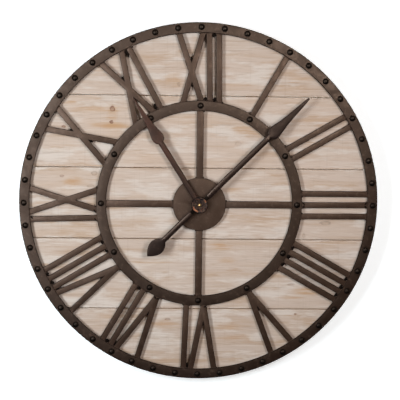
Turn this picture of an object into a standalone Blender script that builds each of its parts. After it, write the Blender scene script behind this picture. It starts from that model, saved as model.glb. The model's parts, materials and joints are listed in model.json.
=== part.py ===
"""A large round wall clock.

Five whitewashed boards sit in a deep metal hoop.  A strap-metal frame stands in front of them: an
outer ring, an inner ring, four spokes, a hub plate and raised Roman numerals, with domed rivet
heads round both rings.  Two spade hands turn on the shafts of a battery movement fixed behind the
boards, whose gears, motor and setting knob are modelled too.

Metres, +Z up, the dial faces -Y.  The wall is the plane Y = 0.  The origin is the point on the wall
where the screw carries the keyhole hanger, straight above the hands' axis.  Depths below are
distances in front of the wall.
"""
import math

import bmesh
import bpy

MM = 0.001
FIT_GAP = 0.3 * MM

# Frame
RING_R = 350 * MM
STRAP_W = 20 * MM
INNER_RING_R = 191.5 * MM
RIM_T = 3 * MM
RIM_BACK = 6 * MM
HUB_R = 52 * MM
SPOKE_W = 13.5 * MM
BAR_W = 11.5 * MM
FRAME_BACK = 38.5 * MM
FRAME_FRONT = 41.5 * MM
HUB_FRONT = 42.5 * MM
HANG_UP = 250 * MM

# Rivets
OUTER_RIVETS = 48
INNER_RIVETS = 12
OUTER_RIVET_R = 341 * MM
RIVET_R = 5.8 * MM
RIVET_TOP_R = 3.2 * MM
RIVET_H = 4 * MM

# Boards and battens
BOARD_R = 346.5 * MM
BOARD_PITCH = 140 * MM
BOARD_GAP = 1.4 * MM
BOARD_COUNT = 5
BOARD_BACK = 20.3 * MM
BOARD_FRONT = 32.5 * MM
BOARD_HOLE_R = 4.8 * MM
BATTEN_X = 110 * MM
BATTEN_W = 40 * MM
BATTEN_T = 20 * MM
BATTEN_LENGTH = 600 * MM

# Keyhole hanger
HANGER_SPAN = 80 * MM
HANGER_CROWN = 44 * MM
HANGER_H = 34 * MM
HANGER_T = 1.5 * MM
HANGER_OUT = 3 * MM
KEYHOLE_R = 6 * MM
KEYHOLE_DROP = 13 * MM
SLOT_R = 3 * MM

# Numerals: (glyph, centre at the inner ring, centre at the outer ring, spread at the inner ring),
# in millimetres across the hour line, clockwise positive.
V_SPREAD = 46.5
X_SPREAD = 46
NUMERALS = {
    1: (("I", 0, 0),),
    2: (("I", -10, -10), ("I", 12, 12)),
    3: (("I", -22.5, -22.5), ("I", 0, -1), ("I", 22, 21.5)),
    4: (("I", -28, -29), ("I", -9, -10.5), ("I", 9.5, 8.5), ("I", 28.5, 27.5)),
    5: (("V", 0.5, -2),),
    6: (("V", -11, -9.5), ("I", 23.5, 28)),
    7: (("V", -22, -27.5), ("I", 8.5, 9), ("I", 27, 28)),
    8: (("V", -29.5, -38.5), ("I", -0.5, -2.5), ("I", 18.5, 16.5), ("I", 37.5, 36)),
    9: (("I", -28.5, -32), ("X", 6.5, 5.5, 37)),
    10: (("X", -1, -1.5, 45),),
    11: (("X", -9, -8.5, 39), ("I", 26.5, 30)),
    12: (("X", -16, -20, 33), ("I", 18, 15), ("I", 36, 34)),
}

# Hands
MINUTE_ANGLE = math.radians(45)
HOUR_ANGLE = math.radians(-32.3)
ROD_W = 11 * MM
ROD_T = 5.4 * MM
ROD_LAP = 5.5 * MM
BLADE_T = 3 * MM
SHOULDER_RISE = 13 * MM
BORE_CLEARANCE = 0.1 * MM

HOUR_LEVEL = 49.4 * MM
HOUR_LENGTH = 240 * MM
HOUR_BLADE_AT = 142 * MM
HOUR_BLADE_W = 24 * MM
HOUR_TIP_W = 2 * MM
HOUR_BOSS_R = 9 * MM
HOUR_BOSS_T = 5.6 * MM

MINUTE_LEVEL = 57.2 * MM
MINUTE_LENGTH = 294 * MM
MINUTE_BLADE_AT = 190 * MM
MINUTE_BLADE_W = 25 * MM
MINUTE_TIP_W = 4 * MM
MINUTE_BOSS_R = 16.4 * MM
MINUTE_ROD_AT = 22 * MM
TANG_W = 7 * MM
TANG_END = 28 * MM
LEAF_AT = 98 * MM
LEAF_TIP = 142 * MM
LEAF_W = 30 * MM

# Movement
CASE_W = 56 * MM
CASE_FRONT = 20 * MM
CASE_BACK = 4 * MM
CASE_WALL = 1.4 * MM
PLATE_T = 1.5 * MM
CORNER_R = 3 * MM
BUSH_R = 4 * MM
BUSH_BORE_R = 2.6 * MM
BUSH_FRONT = 45.2 * MM
HOUR_TUBE_R = 2.5 * MM
HOUR_TUBE_BORE_R = 1.7 * MM
HOUR_TUBE_FRONT = 52 * MM
ARBOR_R = 1.6 * MM
ARBOR_FRONT = 61.6 * MM
BAY_WALL_Z = -11.4 * MM
BAY_WALL_T = 0.8 * MM
BATTERY_R = 7 * MM
BATTERY_LENGTH = 49.5 * MM
PIVOT_R = 0.5 * MM
KNOB_R = 6 * MM

# Gears: tooth sizes are fractions of the module
ADDENDUM = 0.8
DEDENDUM = 1.15
TOOTH_AT_ROOT = 0.52
TOOTH_AT_TIP = 0.22

MOTION_MODULE = 0.5 * MM
HOUR_MODULE = 0.48 * MM
CENTRE_MODULE = 0.25 * MM
ROTOR_MODULE = 0.2 * MM

CANNON_TEETH = 12
REVERSE_TEETH = 36
REVERSE_PINION_TEETH = 10
HOUR_TEETH = 40
KNOB_TEETH = 12
CENTRE_TEETH = 64
TRAIN_PINION_TEETH = 8
THIRD_TEETH = 60
SECOND_TEETH = 60
STEP_PINION_TEETH = 10
INTERMEDIATE_TEETH = 50

REVERSE_DISTANCE = MOTION_MODULE * (CANNON_TEETH + REVERSE_TEETH) / 2
KNOB_DISTANCE = MOTION_MODULE * (REVERSE_TEETH + KNOB_TEETH) / 2
THIRD_DISTANCE = CENTRE_MODULE * (CENTRE_TEETH + TRAIN_PINION_TEETH) / 2
THIRD_MODULE = 2 * THIRD_DISTANCE / (THIRD_TEETH + TRAIN_PINION_TEETH)
STEP_DISTANCE = CENTRE_MODULE * (SECOND_TEETH + STEP_PINION_TEETH) / 2
ROTOR_DISTANCE = ROTOR_MODULE * (INTERMEDIATE_TEETH + STEP_PINION_TEETH) / 2


def polar(distance, degrees, start=(0.0, 0.0)):
    """Point at a distance and a direction (anticlockwise from +X) from a start point."""
    a = math.radians(degrees)
    return (start[0] + distance * math.cos(a), start[1] + distance * math.sin(a))


CENTRE_AT = (0.0, 0.0)
REVERSE_AT = polar(REVERSE_DISTANCE, 90)
KNOB_AT = polar(KNOB_DISTANCE, 155, REVERSE_AT)
THIRD_AT = polar(THIRD_DISTANCE, 180)
STEP_AT = polar(STEP_DISTANCE, 20)
ROTOR_AT = polar(ROTOR_DISTANCE, 100, STEP_AT)

ROUND_STEPS = 24
COLOURS = {
    "frame_metal": ((0.075, 0.055, 0.043, 1), 0.55, 0.8),
    "hand_metal": ((0.085, 0.05, 0.04, 1), 0.5, 0.8),
    "whitewashed_wood": ((0.62, 0.53, 0.44, 1), 0.8, 0.0),
    "pine": ((0.55, 0.38, 0.22, 1), 0.75, 0.0),
    "zinc_steel": ((0.55, 0.55, 0.53, 1), 0.4, 0.9),
    "black_plastic": ((0.02, 0.02, 0.022, 1), 0.45, 0.0),
    "white_plastic": ((0.75, 0.75, 0.72, 1), 0.45, 0.0),
    "brass": ((0.7, 0.5, 0.2, 1), 0.3, 1.0),
    "battery_jacket": ((0.1, 0.12, 0.14, 1), 0.35, 0.3),
    "circuit_green": ((0.03, 0.16, 0.07, 1), 0.5, 0.0),
    "copper_winding": ((0.6, 0.25, 0.12, 1), 0.4, 0.8),
}


def clear_scene():
    for obj in list(bpy.data.objects):
        bpy.data.objects.remove(obj, do_unlink=True)


def make_collection(name):
    collection = bpy.data.collections.new(name)
    bpy.context.scene.collection.children.link(collection)
    return collection


def make_materials():
    made = {}
    for name, (colour, roughness, metallic) in COLOURS.items():
        mat = bpy.data.materials.new(name)
        mat.use_nodes = True
        shader = mat.node_tree.nodes["Principled BSDF"]
        shader.inputs["Base Color"].default_value = colour
        shader.inputs["Roughness"].default_value = roughness
        shader.inputs["Metallic"].default_value = metallic
        made[name] = mat
    return made


clear_scene()
PARTS = make_collection("wall_clock")
CUTTERS = make_collection("cutters")
MATERIALS = make_materials()

axis_point = bpy.data.objects.new("hands_axis", None)
axis_point.location = (0, 0, -HANG_UP)
PARTS.objects.link(axis_point)


# ---------------------------------------------------------------- building blocks
# Every piece is drawn as seen from the front, in its own X and Y, and grows forward along its own
# Z.  UPRIGHT stands that drawing up, so its Y is the clock's +Z and its Z the clock's -Y.
UPRIGHT = math.radians(90)


def place(obj, at=CENTRE_AT, turn=0.0):
    """Stand a drawing up on the hands' axis, at an (x, z) offset, turned clockwise."""
    obj.parent = axis_point
    obj.location = (at[0], 0, at[1])
    obj.rotation_euler = (UPRIGHT, turn, 0)


def new_object(name, mesh, material=None):
    """A part when it has a material, or a cutter when it hasn't."""
    obj = bpy.data.objects.new(name, mesh)
    if material:
        PARTS.objects.link(obj)
        mesh.materials.append(MATERIALS[material])
    else:
        CUTTERS.objects.link(obj)
        obj.hide_render = True
        obj.display_type = 'WIRE'
    return obj


def flat_piece(name, loops, back, front, material=None, at=CENTRE_AT, turn=0.0):
    """A closed outline, with any holes as further loops, extruded from back to front."""
    curve = bpy.data.curves.new(name, 'CURVE')
    curve.dimensions = '2D'
    curve.fill_mode = 'BOTH'
    curve.extrude = (front - back) / 2
    for loop in loops:
        spline = curve.splines.new('POLY')
        spline.points.add(len(loop) - 1)
        for point, (x, y) in zip(spline.points, loop):
            point.co = (x, y, 0, 1)
        spline.use_cyclic_u = True
    drawn = bpy.data.objects.new(name + "_curve", curve)
    CUTTERS.objects.link(drawn)
    bpy.context.view_layer.update()
    evaluated = drawn.evaluated_get(bpy.context.evaluated_depsgraph_get())
    mesh = bpy.data.meshes.new_from_object(evaluated)
    mesh.name = name
    bpy.data.objects.remove(drawn)
    bpy.data.curves.remove(curve)
    bm = bmesh.new()
    bm.from_mesh(mesh)
    bmesh.ops.remove_doubles(bm, verts=bm.verts, dist=1e-6)
    bmesh.ops.translate(bm, verts=bm.verts, vec=(0, 0, (front + back) / 2))
    bm.to_mesh(mesh)
    bm.free()
    mesh.materials.clear()
    obj = new_object(name, mesh, material)
    place(obj, at, turn)
    return obj


def turned_piece(name, profile, material=None, at=CENTRE_AT, steps=ROUND_STEPS, closed=False):
    """A profile of (radius, depth) points, front to back down its outer side, turned by Screw."""
    mesh = bpy.data.meshes.new(name)
    edges = [(i, i + 1) for i in range(len(profile) - 1)]
    if closed:
        edges.append((len(profile) - 1, 0))
    mesh.from_pydata([(r, 0, depth) for r, depth in profile], edges, [])
    obj = new_object(name, mesh, material)
    place(obj, at)
    screw = obj.modifiers.new("turn", 'SCREW')
    screw.axis = 'Z'
    screw.steps = steps
    screw.render_steps = steps
    screw.use_merge_vertices = True
    screw.merge_threshold = 1e-6
    screw.use_smooth_shade = False
    return obj


def rod_profile(radius, back, front):
    return [(0, front), (radius, front), (radius, back), (0, back)]


def tube_profile(outer, bore, back, front):
    return [(bore, front), (outer, front), (outer, back), (bore, back)]


def boolean(obj, other, operation):
    cut = obj.modifiers.new(other.name, 'BOOLEAN')
    cut.operation = operation
    cut.solver = 'EXACT'
    cut.object = other


def join(obj, *others):
    for other in others:
        boolean(obj, other, 'UNION')
    return obj


def subtract(obj, *others):
    for other in others:
        boolean(obj, other, 'DIFFERENCE')
    return obj


def arc(radius, start, end, count, centre=(0.0, 0.0)):
    """Points along an arc, angles in degrees anticlockwise from +X."""
    angles = [start + (end - start) * i / (count - 1) for i in range(count)]
    return [polar(radius, a, centre) for a in angles]


def circle(radius, centre=(0.0, 0.0), count=ROUND_STEPS):
    return [polar(radius, 360 * i / count, centre) for i in range(count)]


def rectangle(x0, y0, x1, y1):
    return [(x0, y0), (x1, y0), (x1, y1), (x0, y1)]


def rounded_square(width, corner):
    half = width / 2 - corner
    points = []
    for quarter, (sx, sy) in enumerate(((1, 1), (-1, 1), (-1, -1), (1, -1))):
        points += arc(corner, 90 * quarter, 90 * quarter + 90, 4, (sx * half, sy * half))
    return points


# ---------------------------------------------------------------- frame
def rivet_heads(name, count, radius):
    """Domed heads round a ring, as one cutter, sunk half a millimetre into the strap."""
    sink = 0.5 * MM
    bm = bmesh.new()
    for i in range(count):
        x, y = polar(radius, 90 - 360 * i / count)
        made = bmesh.ops.create_cone(bm, cap_ends=True, segments=8, radius1=RIVET_R,
                                     radius2=RIVET_TOP_R, depth=RIVET_H + sink)
        depth = FRAME_FRONT + (RIVET_H - sink) / 2
        bmesh.ops.translate(bm, verts=made["verts"], vec=(x, y, depth))
    mesh = bpy.data.meshes.new(name)
    bm.to_mesh(mesh)
    bm.free()
    obj = new_object(name, mesh)
    place(obj)
    return obj


def build_rings():
    flange = RING_R - STRAP_W
    bore = RING_R - RIM_T
    profile = [(flange, FRAME_FRONT), (RING_R, FRAME_FRONT), (RING_R, RIM_BACK), (bore, RIM_BACK),
               (bore, FRAME_BACK), (flange, FRAME_BACK)]
    outer = turned_piece("outer_ring", profile, "frame_metal", steps=96, closed=True)
    join(outer, rivet_heads("outer_rivets", OUTER_RIVETS, OUTER_RIVET_R))
    half = STRAP_W / 2
    strap = tube_profile(INNER_RING_R + half, INNER_RING_R - half, FRAME_BACK, FRAME_FRONT)
    inner = turned_piece("inner_ring", strap, "frame_metal", steps=72, closed=True)
    join(inner, rivet_heads("inner_rivets", INNER_RIVETS, INNER_RING_R))


def build_hub():
    hub = tube_profile(HUB_R, BUSH_R + FIT_GAP, FRAME_BACK, HUB_FRONT)
    turned_piece("hub_plate", hub, "frame_metal", steps=48, closed=True)
    start = HUB_R + FIT_GAP
    end = INNER_RING_R - STRAP_W / 2 - 2 * FIT_GAP
    outline = rectangle(-SPOKE_W / 2, start, SPOKE_W / 2, end)
    for hour in (12, 3, 6, 9):
        turn = math.radians(30 * hour)
        flat_piece(f"spoke_{hour}", [outline], FRAME_BACK, FRAME_FRONT, "frame_metal", turn=turn)


def on_circle(point, direction, radius):
    """Where a line meets a circle round the origin, on the side the direction points to."""
    along = point[0] * direction[0] + point[1] * direction[1]
    outside = point[0] ** 2 + point[1] ** 2 - radius ** 2
    step = -along + math.sqrt(along ** 2 - outside)
    return (point[0] + step * direction[0], point[1] + step * direction[1])


def bar_outline(across_in, across_out):
    """A straight bar from ring to ring; its corners lie on circles just inside the gap."""
    inner = INNER_RING_R + STRAP_W / 2 + FIT_GAP
    outer = RING_R - STRAP_W - 2 * FIT_GAP
    run = outer - inner
    length = math.hypot(across_out - across_in, run)
    direction = ((across_out - across_in) / length, run / length)
    side = (direction[1] * BAR_W / 2, -direction[0] * BAR_W / 2)
    corners = []
    for sign in (-1, 1):
        edge = (across_in + sign * side[0], inner + sign * side[1])
        low = on_circle(edge, direction, inner)
        high = on_circle(edge, direction, outer)
        corners.append((low, high))
    (low_left, high_left), (low_right, high_right) = corners
    return [low_left, low_right, high_right, high_left]


def build_numerals():
    for hour, glyphs in NUMERALS.items():
        turn = math.radians(30 * hour)
        for number, (glyph, inner, outer, *spread) in enumerate(glyphs, 1):
            inner, outer = inner * MM, outer * MM
            name = f"numeral_{hour}_{glyph.lower()}{number}"
            if glyph == "I":
                bars = [(inner, outer)]
            elif glyph == "V":
                half = V_SPREAD / 2 * MM
                bars = [(inner, outer - half), (inner, outer + half)]
            else:
                half, half_in = X_SPREAD / 2 * MM, spread[0] / 2 * MM
                bars = [(inner - half_in, outer + half), (inner + half_in, outer - half)]
            stroke = flat_piece(name, [bar_outline(*bars[0])], FRAME_BACK, FRAME_FRONT,
                                "frame_metal", turn=turn)
            for ends in bars[1:]:
                join(stroke, flat_piece(name + "_arm", [bar_outline(*ends)], FRAME_BACK,
                                        FRAME_FRONT, turn=turn))


# ---------------------------------------------------------------- boards
def board_outline(low, high):
    """The part of the round panel between two heights."""
    def edge_angle(height):
        return math.degrees(math.asin(max(-1.0, min(1.0, height / BOARD_R))))
    right = arc(BOARD_R, edge_angle(low), edge_angle(high), 14)
    left = [(-x, y) for x, y in reversed(right)]
    points = []
    for point in right + left:
        if not points or math.dist(point, points[-1]) > 1e-5:
            points.append(point)
    if math.dist(points[0], points[-1]) < 1e-5:
        points.pop()
    return points


def build_boards():
    for number in range(1, BOARD_COUNT + 1):
        middle = (BOARD_COUNT + 1 - 2 * number) / 2 * BOARD_PITCH
        low = max(middle - (BOARD_PITCH - BOARD_GAP) / 2, -BOARD_R)
        high = min(middle + (BOARD_PITCH - BOARD_GAP) / 2, BOARD_R)
        loops = [board_outline(low, high)]
        if middle == 0:
            loops.append(circle(BOARD_HOLE_R))
        flat_piece(f"board_{number}", loops, BOARD_BACK, BOARD_FRONT, "whitewashed_wood")
    for side, sign in (("left", -1), ("right", 1)):
        x = sign * BATTEN_X
        outline = rectangle(x - BATTEN_W / 2, -BATTEN_LENGTH / 2, x + BATTEN_W / 2,
                            BATTEN_LENGTH / 2)
        flat_piece(f"batten_{side}", [outline], 0, BATTEN_T, "pine")


def build_hanger():
    """A bent steel strap on the back of the top board, with a keyhole in its crown."""
    span, crown = HANGER_SPAN / 2, HANGER_CROWN / 2
    foot, out, t = BOARD_BACK - FIT_GAP, HANGER_OUT, HANGER_T
    section = [(-span, foot), (-span, foot - t), (-crown - t, foot - t), (-crown - t, out),
               (crown + t, out), (crown + t, foot - t), (span, foot - t), (span, foot),
               (crown, foot), (crown, out + t), (-crown, out + t), (-crown, foot)]
    mesh_section = [(x, -depth) for x, depth in section]
    strap = flat_piece("hanger", [mesh_section], -HANGER_H / 2, HANGER_H / 2, "zinc_steel")
    strap.rotation_euler = (0, 0, 0)
    strap.location = (0, 0, HANG_UP - KEYHOLE_DROP / 2)
    back, front = HANGER_OUT - HANGER_T, HANGER_OUT + 2 * HANGER_T
    slot_sides = rectangle(-SLOT_R, HANG_UP - KEYHOLE_DROP, SLOT_R, HANG_UP)
    slot = slot_sides[:2] + arc(SLOT_R, 0, 180, 7, (0, HANG_UP))
    mouth = circle(KEYHOLE_R, (0, HANG_UP - KEYHOLE_DROP), 20)
    subtract(strap, flat_piece("keyhole_mouth", [mouth], back, front),
             flat_piece("keyhole_slot", [slot], back, front))


# ---------------------------------------------------------------- hands
def rod(name, start, end, level, material=None, turn=0.0):
    """An oval rod along the hand, from one distance from the axis to another."""
    bm = bmesh.new()
    bmesh.ops.create_cone(bm, cap_ends=True, segments=12, radius1=0.5, radius2=0.5,
                          depth=end - start)
    bmesh.ops.scale(bm, verts=bm.verts, vec=(ROD_W, ROD_T, 1))
    for vert in bm.verts:
        across, thick, along = vert.co
        vert.co = (across, along + (start + end) / 2, thick + level)
    bmesh.ops.recalc_face_normals(bm, faces=bm.faces)
    mesh = bpy.data.meshes.new(name)
    bm.to_mesh(mesh)
    bm.free()
    obj = new_object(name, mesh, material)
    place(obj, turn=turn)
    return obj


def blade_outline(shoulder, tip, wide, tip_wide):
    """A spade: round shoulders just past the rod, then a long hollow taper to the tip."""
    half, point = wide / 2, tip_wide / 2
    hollow = 0.11 * wide
    steps = 6
    points = []
    for i in range(steps):
        a = math.radians(90 * i / (steps - 1))
        reach = half - (half - ROD_W / 2) * (1 - math.sin(a))
        points.append((reach, shoulder + SHOULDER_RISE * (1 - math.cos(a))))
    widest = shoulder + SHOULDER_RISE
    for i in range(1, steps + 1):
        f = i / steps
        reach = half + (point - half) * f - hollow * math.sin(math.pi * f) * (1 - f)
        points.append((reach, widest + (tip - widest) * f))
    return points + [(-x, y) for x, y in reversed(points)]


def leaf_outline():
    """The counterweight: a broad leaf that ends in a point away from the hub."""
    length = LEAF_TIP - LEAF_AT
    right = [(ROD_W / 2, -LEAF_AT)]
    count = 10
    for i in range(1, count):
        f = i / count
        swell = math.sin(math.pi * f ** 0.8) ** 0.62 * (1 - 0.18 * f)
        right.append((LEAF_W / 2 * swell, -LEAF_AT - length * f))
    return right + [(0, -LEAF_TIP)] + [(-x, y) for x, y in reversed(right)]


def build_hour_hand():
    turn = HOUR_ANGLE
    level = HOUR_LEVEL
    boss = [circle(HOUR_BOSS_R, count=20), circle(HOUR_TUBE_R + BORE_CLEARANCE)]
    hand = flat_piece("hour_hand", boss, level - HOUR_BOSS_T / 2, level + HOUR_BOSS_T / 2,
                      "hand_metal", turn=turn)
    stem = rod("hour_rod", HOUR_BOSS_R - MM, HOUR_BLADE_AT + ROD_LAP, level, turn=turn)
    outline = blade_outline(HOUR_BLADE_AT, HOUR_LENGTH, HOUR_BLADE_W, HOUR_TIP_W)
    blade = flat_piece("hour_blade", [outline], level - BLADE_T / 2, level + BLADE_T / 2,
                       turn=turn)
    join(hand, stem, blade)


def build_minute_hand():
    turn = MINUTE_ANGLE
    level = MINUTE_LEVEL
    rim, dish, under = level + 3.3 * MM, level + 1.3 * MM, level - 2.7 * MM
    bore = ARBOR_R + BORE_CLEARANCE
    profile = [(bore, dish), (MINUTE_BOSS_R - 5 * MM, dish), (MINUTE_BOSS_R - 2.5 * MM, rim),
               (MINUTE_BOSS_R - 1 * MM, rim), (MINUTE_BOSS_R, rim - 1 * MM),
               (MINUTE_BOSS_R, under), (bore, under)]
    hand = turned_piece("minute_hand", profile, "hand_metal", closed=True, steps=32)
    hand.rotation_euler = (UPRIGHT, turn, 0)
    tang_start, tang_back, tang_front = MINUTE_BOSS_R - 3 * MM, level - 2 * MM, level + 0.4 * MM
    pieces = []
    for name, sign, end in (("front", 1, MINUTE_BLADE_AT), ("tail", -1, LEAF_AT)):
        low, high = sorted((sign * tang_start, sign * TANG_END))
        tang = rectangle(-TANG_W / 2, low, TANG_W / 2, high)
        pieces.append(flat_piece(f"{name}_tang", [tang], tang_back, tang_front, turn=turn))
        start, stop = sorted((sign * MINUTE_ROD_AT, sign * (end + ROD_LAP)))
        pieces.append(rod(f"{name}_rod", start, stop, level, turn=turn))
    back, front = level - BLADE_T / 2, level + BLADE_T / 2
    blade = blade_outline(MINUTE_BLADE_AT, MINUTE_LENGTH, MINUTE_BLADE_W, MINUTE_TIP_W)
    pieces.append(flat_piece("minute_blade", [blade], back, front, turn=turn))
    pieces.append(flat_piece("minute_leaf", [leaf_outline()], back, front, turn=turn))
    join(hand, *pieces)


# ---------------------------------------------------------------- movement
INSIDE_FRONT = CASE_FRONT - PLATE_T


def layer(depth_mm):
    """Distance from the wall of a level inside the case, counted back from its front plate."""
    return INSIDE_FRONT - depth_mm * MM


def gear_outline(teeth, module, phase):
    """Straight-sided teeth; phase is the angle of one tooth, anticlockwise from +X."""
    pitch_r = teeth * module / 2
    root, tip = pitch_r - DEDENDUM * module, pitch_r + ADDENDUM * module
    step = 2 * math.pi / teeth
    points = []
    for i in range(teeth):
        middle = phase + i * step
        for radius, share in ((root, -TOOTH_AT_ROOT), (tip, -TOOTH_AT_TIP), (tip, TOOTH_AT_TIP),
                              (root, TOOTH_AT_ROOT)):
            a = middle + share * step / 2
            points.append((radius * math.cos(a), radius * math.sin(a)))
    return points


def meshed_phase(phase, teeth, at, other_teeth, other_at):
    """The phase that puts a gap of the second gear over the first gear's tooth."""
    towards = math.atan2(other_at[1] - at[1], other_at[0] - at[0])
    offset = phase - towards
    return towards + math.pi + math.pi / other_teeth - offset * teeth / other_teeth


def gear(name, teeth, module, phase, back, front, material=None, at=CENTRE_AT, bore=None):
    loops = [gear_outline(teeth, module, phase)]
    if bore:
        loops.append(circle(bore))
    return flat_piece(name, loops, layer(back), layer(front), material, at)


def arbor(name, radius, back, front, at):
    return turned_piece(name, rod_profile(radius, layer(back), layer(front)), at=at, steps=12)


def build_motion_work():
    """Cannon pinion to reverse wheel to hour wheel, twelve to one, and the setting knob."""
    cannon_phase = 0.0
    reverse_phase = meshed_phase(cannon_phase, CANNON_TEETH, CENTRE_AT, REVERSE_TEETH, REVERSE_AT)
    pinion_phase = math.radians(90)
    hour_phase = meshed_phase(pinion_phase, REVERSE_PINION_TEETH, REVERSE_AT, HOUR_TEETH,
                              CENTRE_AT)
    knob_phase = meshed_phase(reverse_phase, REVERSE_TEETH, REVERSE_AT, KNOB_TEETH, KNOB_AT)

    hour = gear("hour_wheel", HOUR_TEETH, HOUR_MODULE, hour_phase, 1.7, 0.7, "brass",
                bore=(HOUR_TUBE_R + HOUR_TUBE_BORE_R) / 2)
    sleeve = tube_profile(HOUR_TUBE_R, HOUR_TUBE_BORE_R, layer(1.9), HOUR_TUBE_FRONT)
    join(hour, turned_piece("hour_sleeve", sleeve, closed=True))

    tip_r, tip_back = 2.3 * MM, MINUTE_LEVEL + 1.6 * MM
    shaft = [(0, ARBOR_FRONT), (tip_r - 0.8 * MM, ARBOR_FRONT), (tip_r, ARBOR_FRONT - 0.8 * MM),
             (tip_r, tip_back), (ARBOR_R, tip_back), (ARBOR_R, layer(4.4)), (0, layer(4.4))]
    minute = turned_piece("minute_arbor", shaft, "brass")
    join(minute, gear("cannon_pinion", CANNON_TEETH, MOTION_MODULE, cannon_phase, 4.0, 2.2))

    reverse = gear("reverse_wheel", REVERSE_TEETH, MOTION_MODULE, reverse_phase, 3.5, 2.5,
                   "white_plastic", REVERSE_AT)
    join(reverse, gear("reverse_pinion", REVERSE_PINION_TEETH, HOUR_MODULE, pinion_phase, 2.8, 0.4,
                       at=REVERSE_AT), arbor("reverse_arbor", 0.8 * MM, 5.6, 0.3, REVERSE_AT))

    shaft_r = 1.5 * MM
    outside = CASE_BACK - FIT_GAP
    profile = [(0, layer(2.0)), (shaft_r, layer(2.0)), (shaft_r, outside), (KNOB_R, outside),
               (KNOB_R, 1.6 * MM), (KNOB_R - 1 * MM, 0.8 * MM), (0, 0.8 * MM)]
    knob = turned_piece("setting_knob", profile, "white_plastic", KNOB_AT)
    join(knob, gear("knob_pinion", KNOB_TEETH, MOTION_MODULE, knob_phase, 3.7, 2.3, at=KNOB_AT))


def build_going_train():
    """Rotor to intermediate, second, third and centre wheels: 1800 rotor turns to one."""
    centre_phase = 0.0
    third_pinion_phase = meshed_phase(centre_phase, CENTRE_TEETH, CENTRE_AT, TRAIN_PINION_TEETH,
                                      THIRD_AT)
    third_phase = 0.0
    second_pinion_phase = meshed_phase(third_phase, THIRD_TEETH, THIRD_AT, TRAIN_PINION_TEETH,
                                       CENTRE_AT)
    second_phase = 0.0
    step_pinion_phase = meshed_phase(second_phase, SECOND_TEETH, CENTRE_AT, STEP_PINION_TEETH,
                                     STEP_AT)
    step_phase = 0.0
    rotor_phase = meshed_phase(step_phase, INTERMEDIATE_TEETH, STEP_AT, STEP_PINION_TEETH,
                               ROTOR_AT)

    centre = gear("centre_wheel", CENTRE_TEETH, CENTRE_MODULE, centre_phase, 5.5, 4.7,
                  "white_plastic")
    join(centre, arbor("centre_hub", 1.2 * MM, 5.9, 4.55, CENTRE_AT))

    third = gear("third_wheel", THIRD_TEETH, THIRD_MODULE, third_phase, 7.4, 6.6,
                 "white_plastic", THIRD_AT)
    join(third, gear("third_pinion", TRAIN_PINION_TEETH, CENTRE_MODULE, third_pinion_phase, 6.8,
                     4.4, at=THIRD_AT), arbor("third_arbor", PIVOT_R, 12.6, 3.0, THIRD_AT))

    second = gear("second_wheel", SECOND_TEETH, CENTRE_MODULE, second_phase, 9.0, 8.2,
                  "white_plastic")
    join(second, gear("second_pinion", TRAIN_PINION_TEETH, THIRD_MODULE, second_pinion_phase, 8.4,
                      6.3), arbor("second_arbor", PIVOT_R, 12.6, 6.15, CENTRE_AT))

    step = gear("intermediate_wheel", INTERMEDIATE_TEETH, ROTOR_MODULE, step_phase, 10.6, 9.8,
                "white_plastic", STEP_AT)
    join(step, gear("intermediate_pinion", STEP_PINION_TEETH, CENTRE_MODULE, step_pinion_phase,
                    10.0, 7.9, at=STEP_AT), arbor("intermediate_arbor", PIVOT_R, 12.6, 6.0,
                                                  STEP_AT))

    magnet = rod_profile(2.6 * MM, layer(9.2), layer(5.9))
    rotor = turned_piece("rotor", magnet, "zinc_steel", ROTOR_AT, steps=16)
    join(rotor, gear("rotor_pinion", STEP_PINION_TEETH, ROTOR_MODULE, rotor_phase, 10.9, 9.0,
                     at=ROTOR_AT), arbor("rotor_arbor", PIVOT_R, 12.6, 5.0, ROTOR_AT))


def build_motor_and_circuit():
    low, arm_low, high = 4.6 * MM, 13.2 * MM, 24 * MM
    left, left_in, right_in, right = -1.5 * MM, 3 * MM, 16 * MM, 20.5 * MM
    stator = [(left, low), (right, low), (right, high), (right_in, high), (right_in, arm_low),
              (left_in, arm_low), (left_in, high), (left, high)]
    motor = flat_piece("motor_coil", [stator, circle(3.2 * MM, ROTOR_AT)], layer(7.6), layer(6.7),
                       "copper_winding")
    coil_z, half_core = 21 * MM, 1.5 * MM
    core = rectangle(left + 0.5 * MM, coil_z - half_core, right - 0.5 * MM, coil_z + half_core)
    core_bar = flat_piece("coil_core", [core], layer(8.2), layer(6.1))
    flange_t, coil_r, flange_r = 1 * MM, 2.5 * MM, 3.1 * MM
    start, end = left_in + FIT_GAP, right_in - FIT_GAP
    profile = [(0, end), (flange_r, end), (flange_r, end - flange_t), (coil_r, end - flange_t),
               (coil_r, start + flange_t), (flange_r, start + flange_t), (flange_r, start),
               (0, start)]
    winding = turned_piece("winding", profile, steps=16)
    winding.rotation_euler = (0, math.radians(90), 0)
    winding.location = (0, -layer(7.15), coil_z)
    join(motor, core_bar, winding)

    board = rectangle(12 * MM, -9 * MM, 25 * MM, 3 * MM)
    circuit = flat_piece("circuit_board", [board], layer(4.8), layer(3.8), "circuit_green")
    chip = turned_piece("chip", rod_profile(2.4 * MM, layer(6.0), layer(4.5)),
                        at=(18.5 * MM, -3 * MM), steps=16)
    join(circuit, chip)


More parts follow.
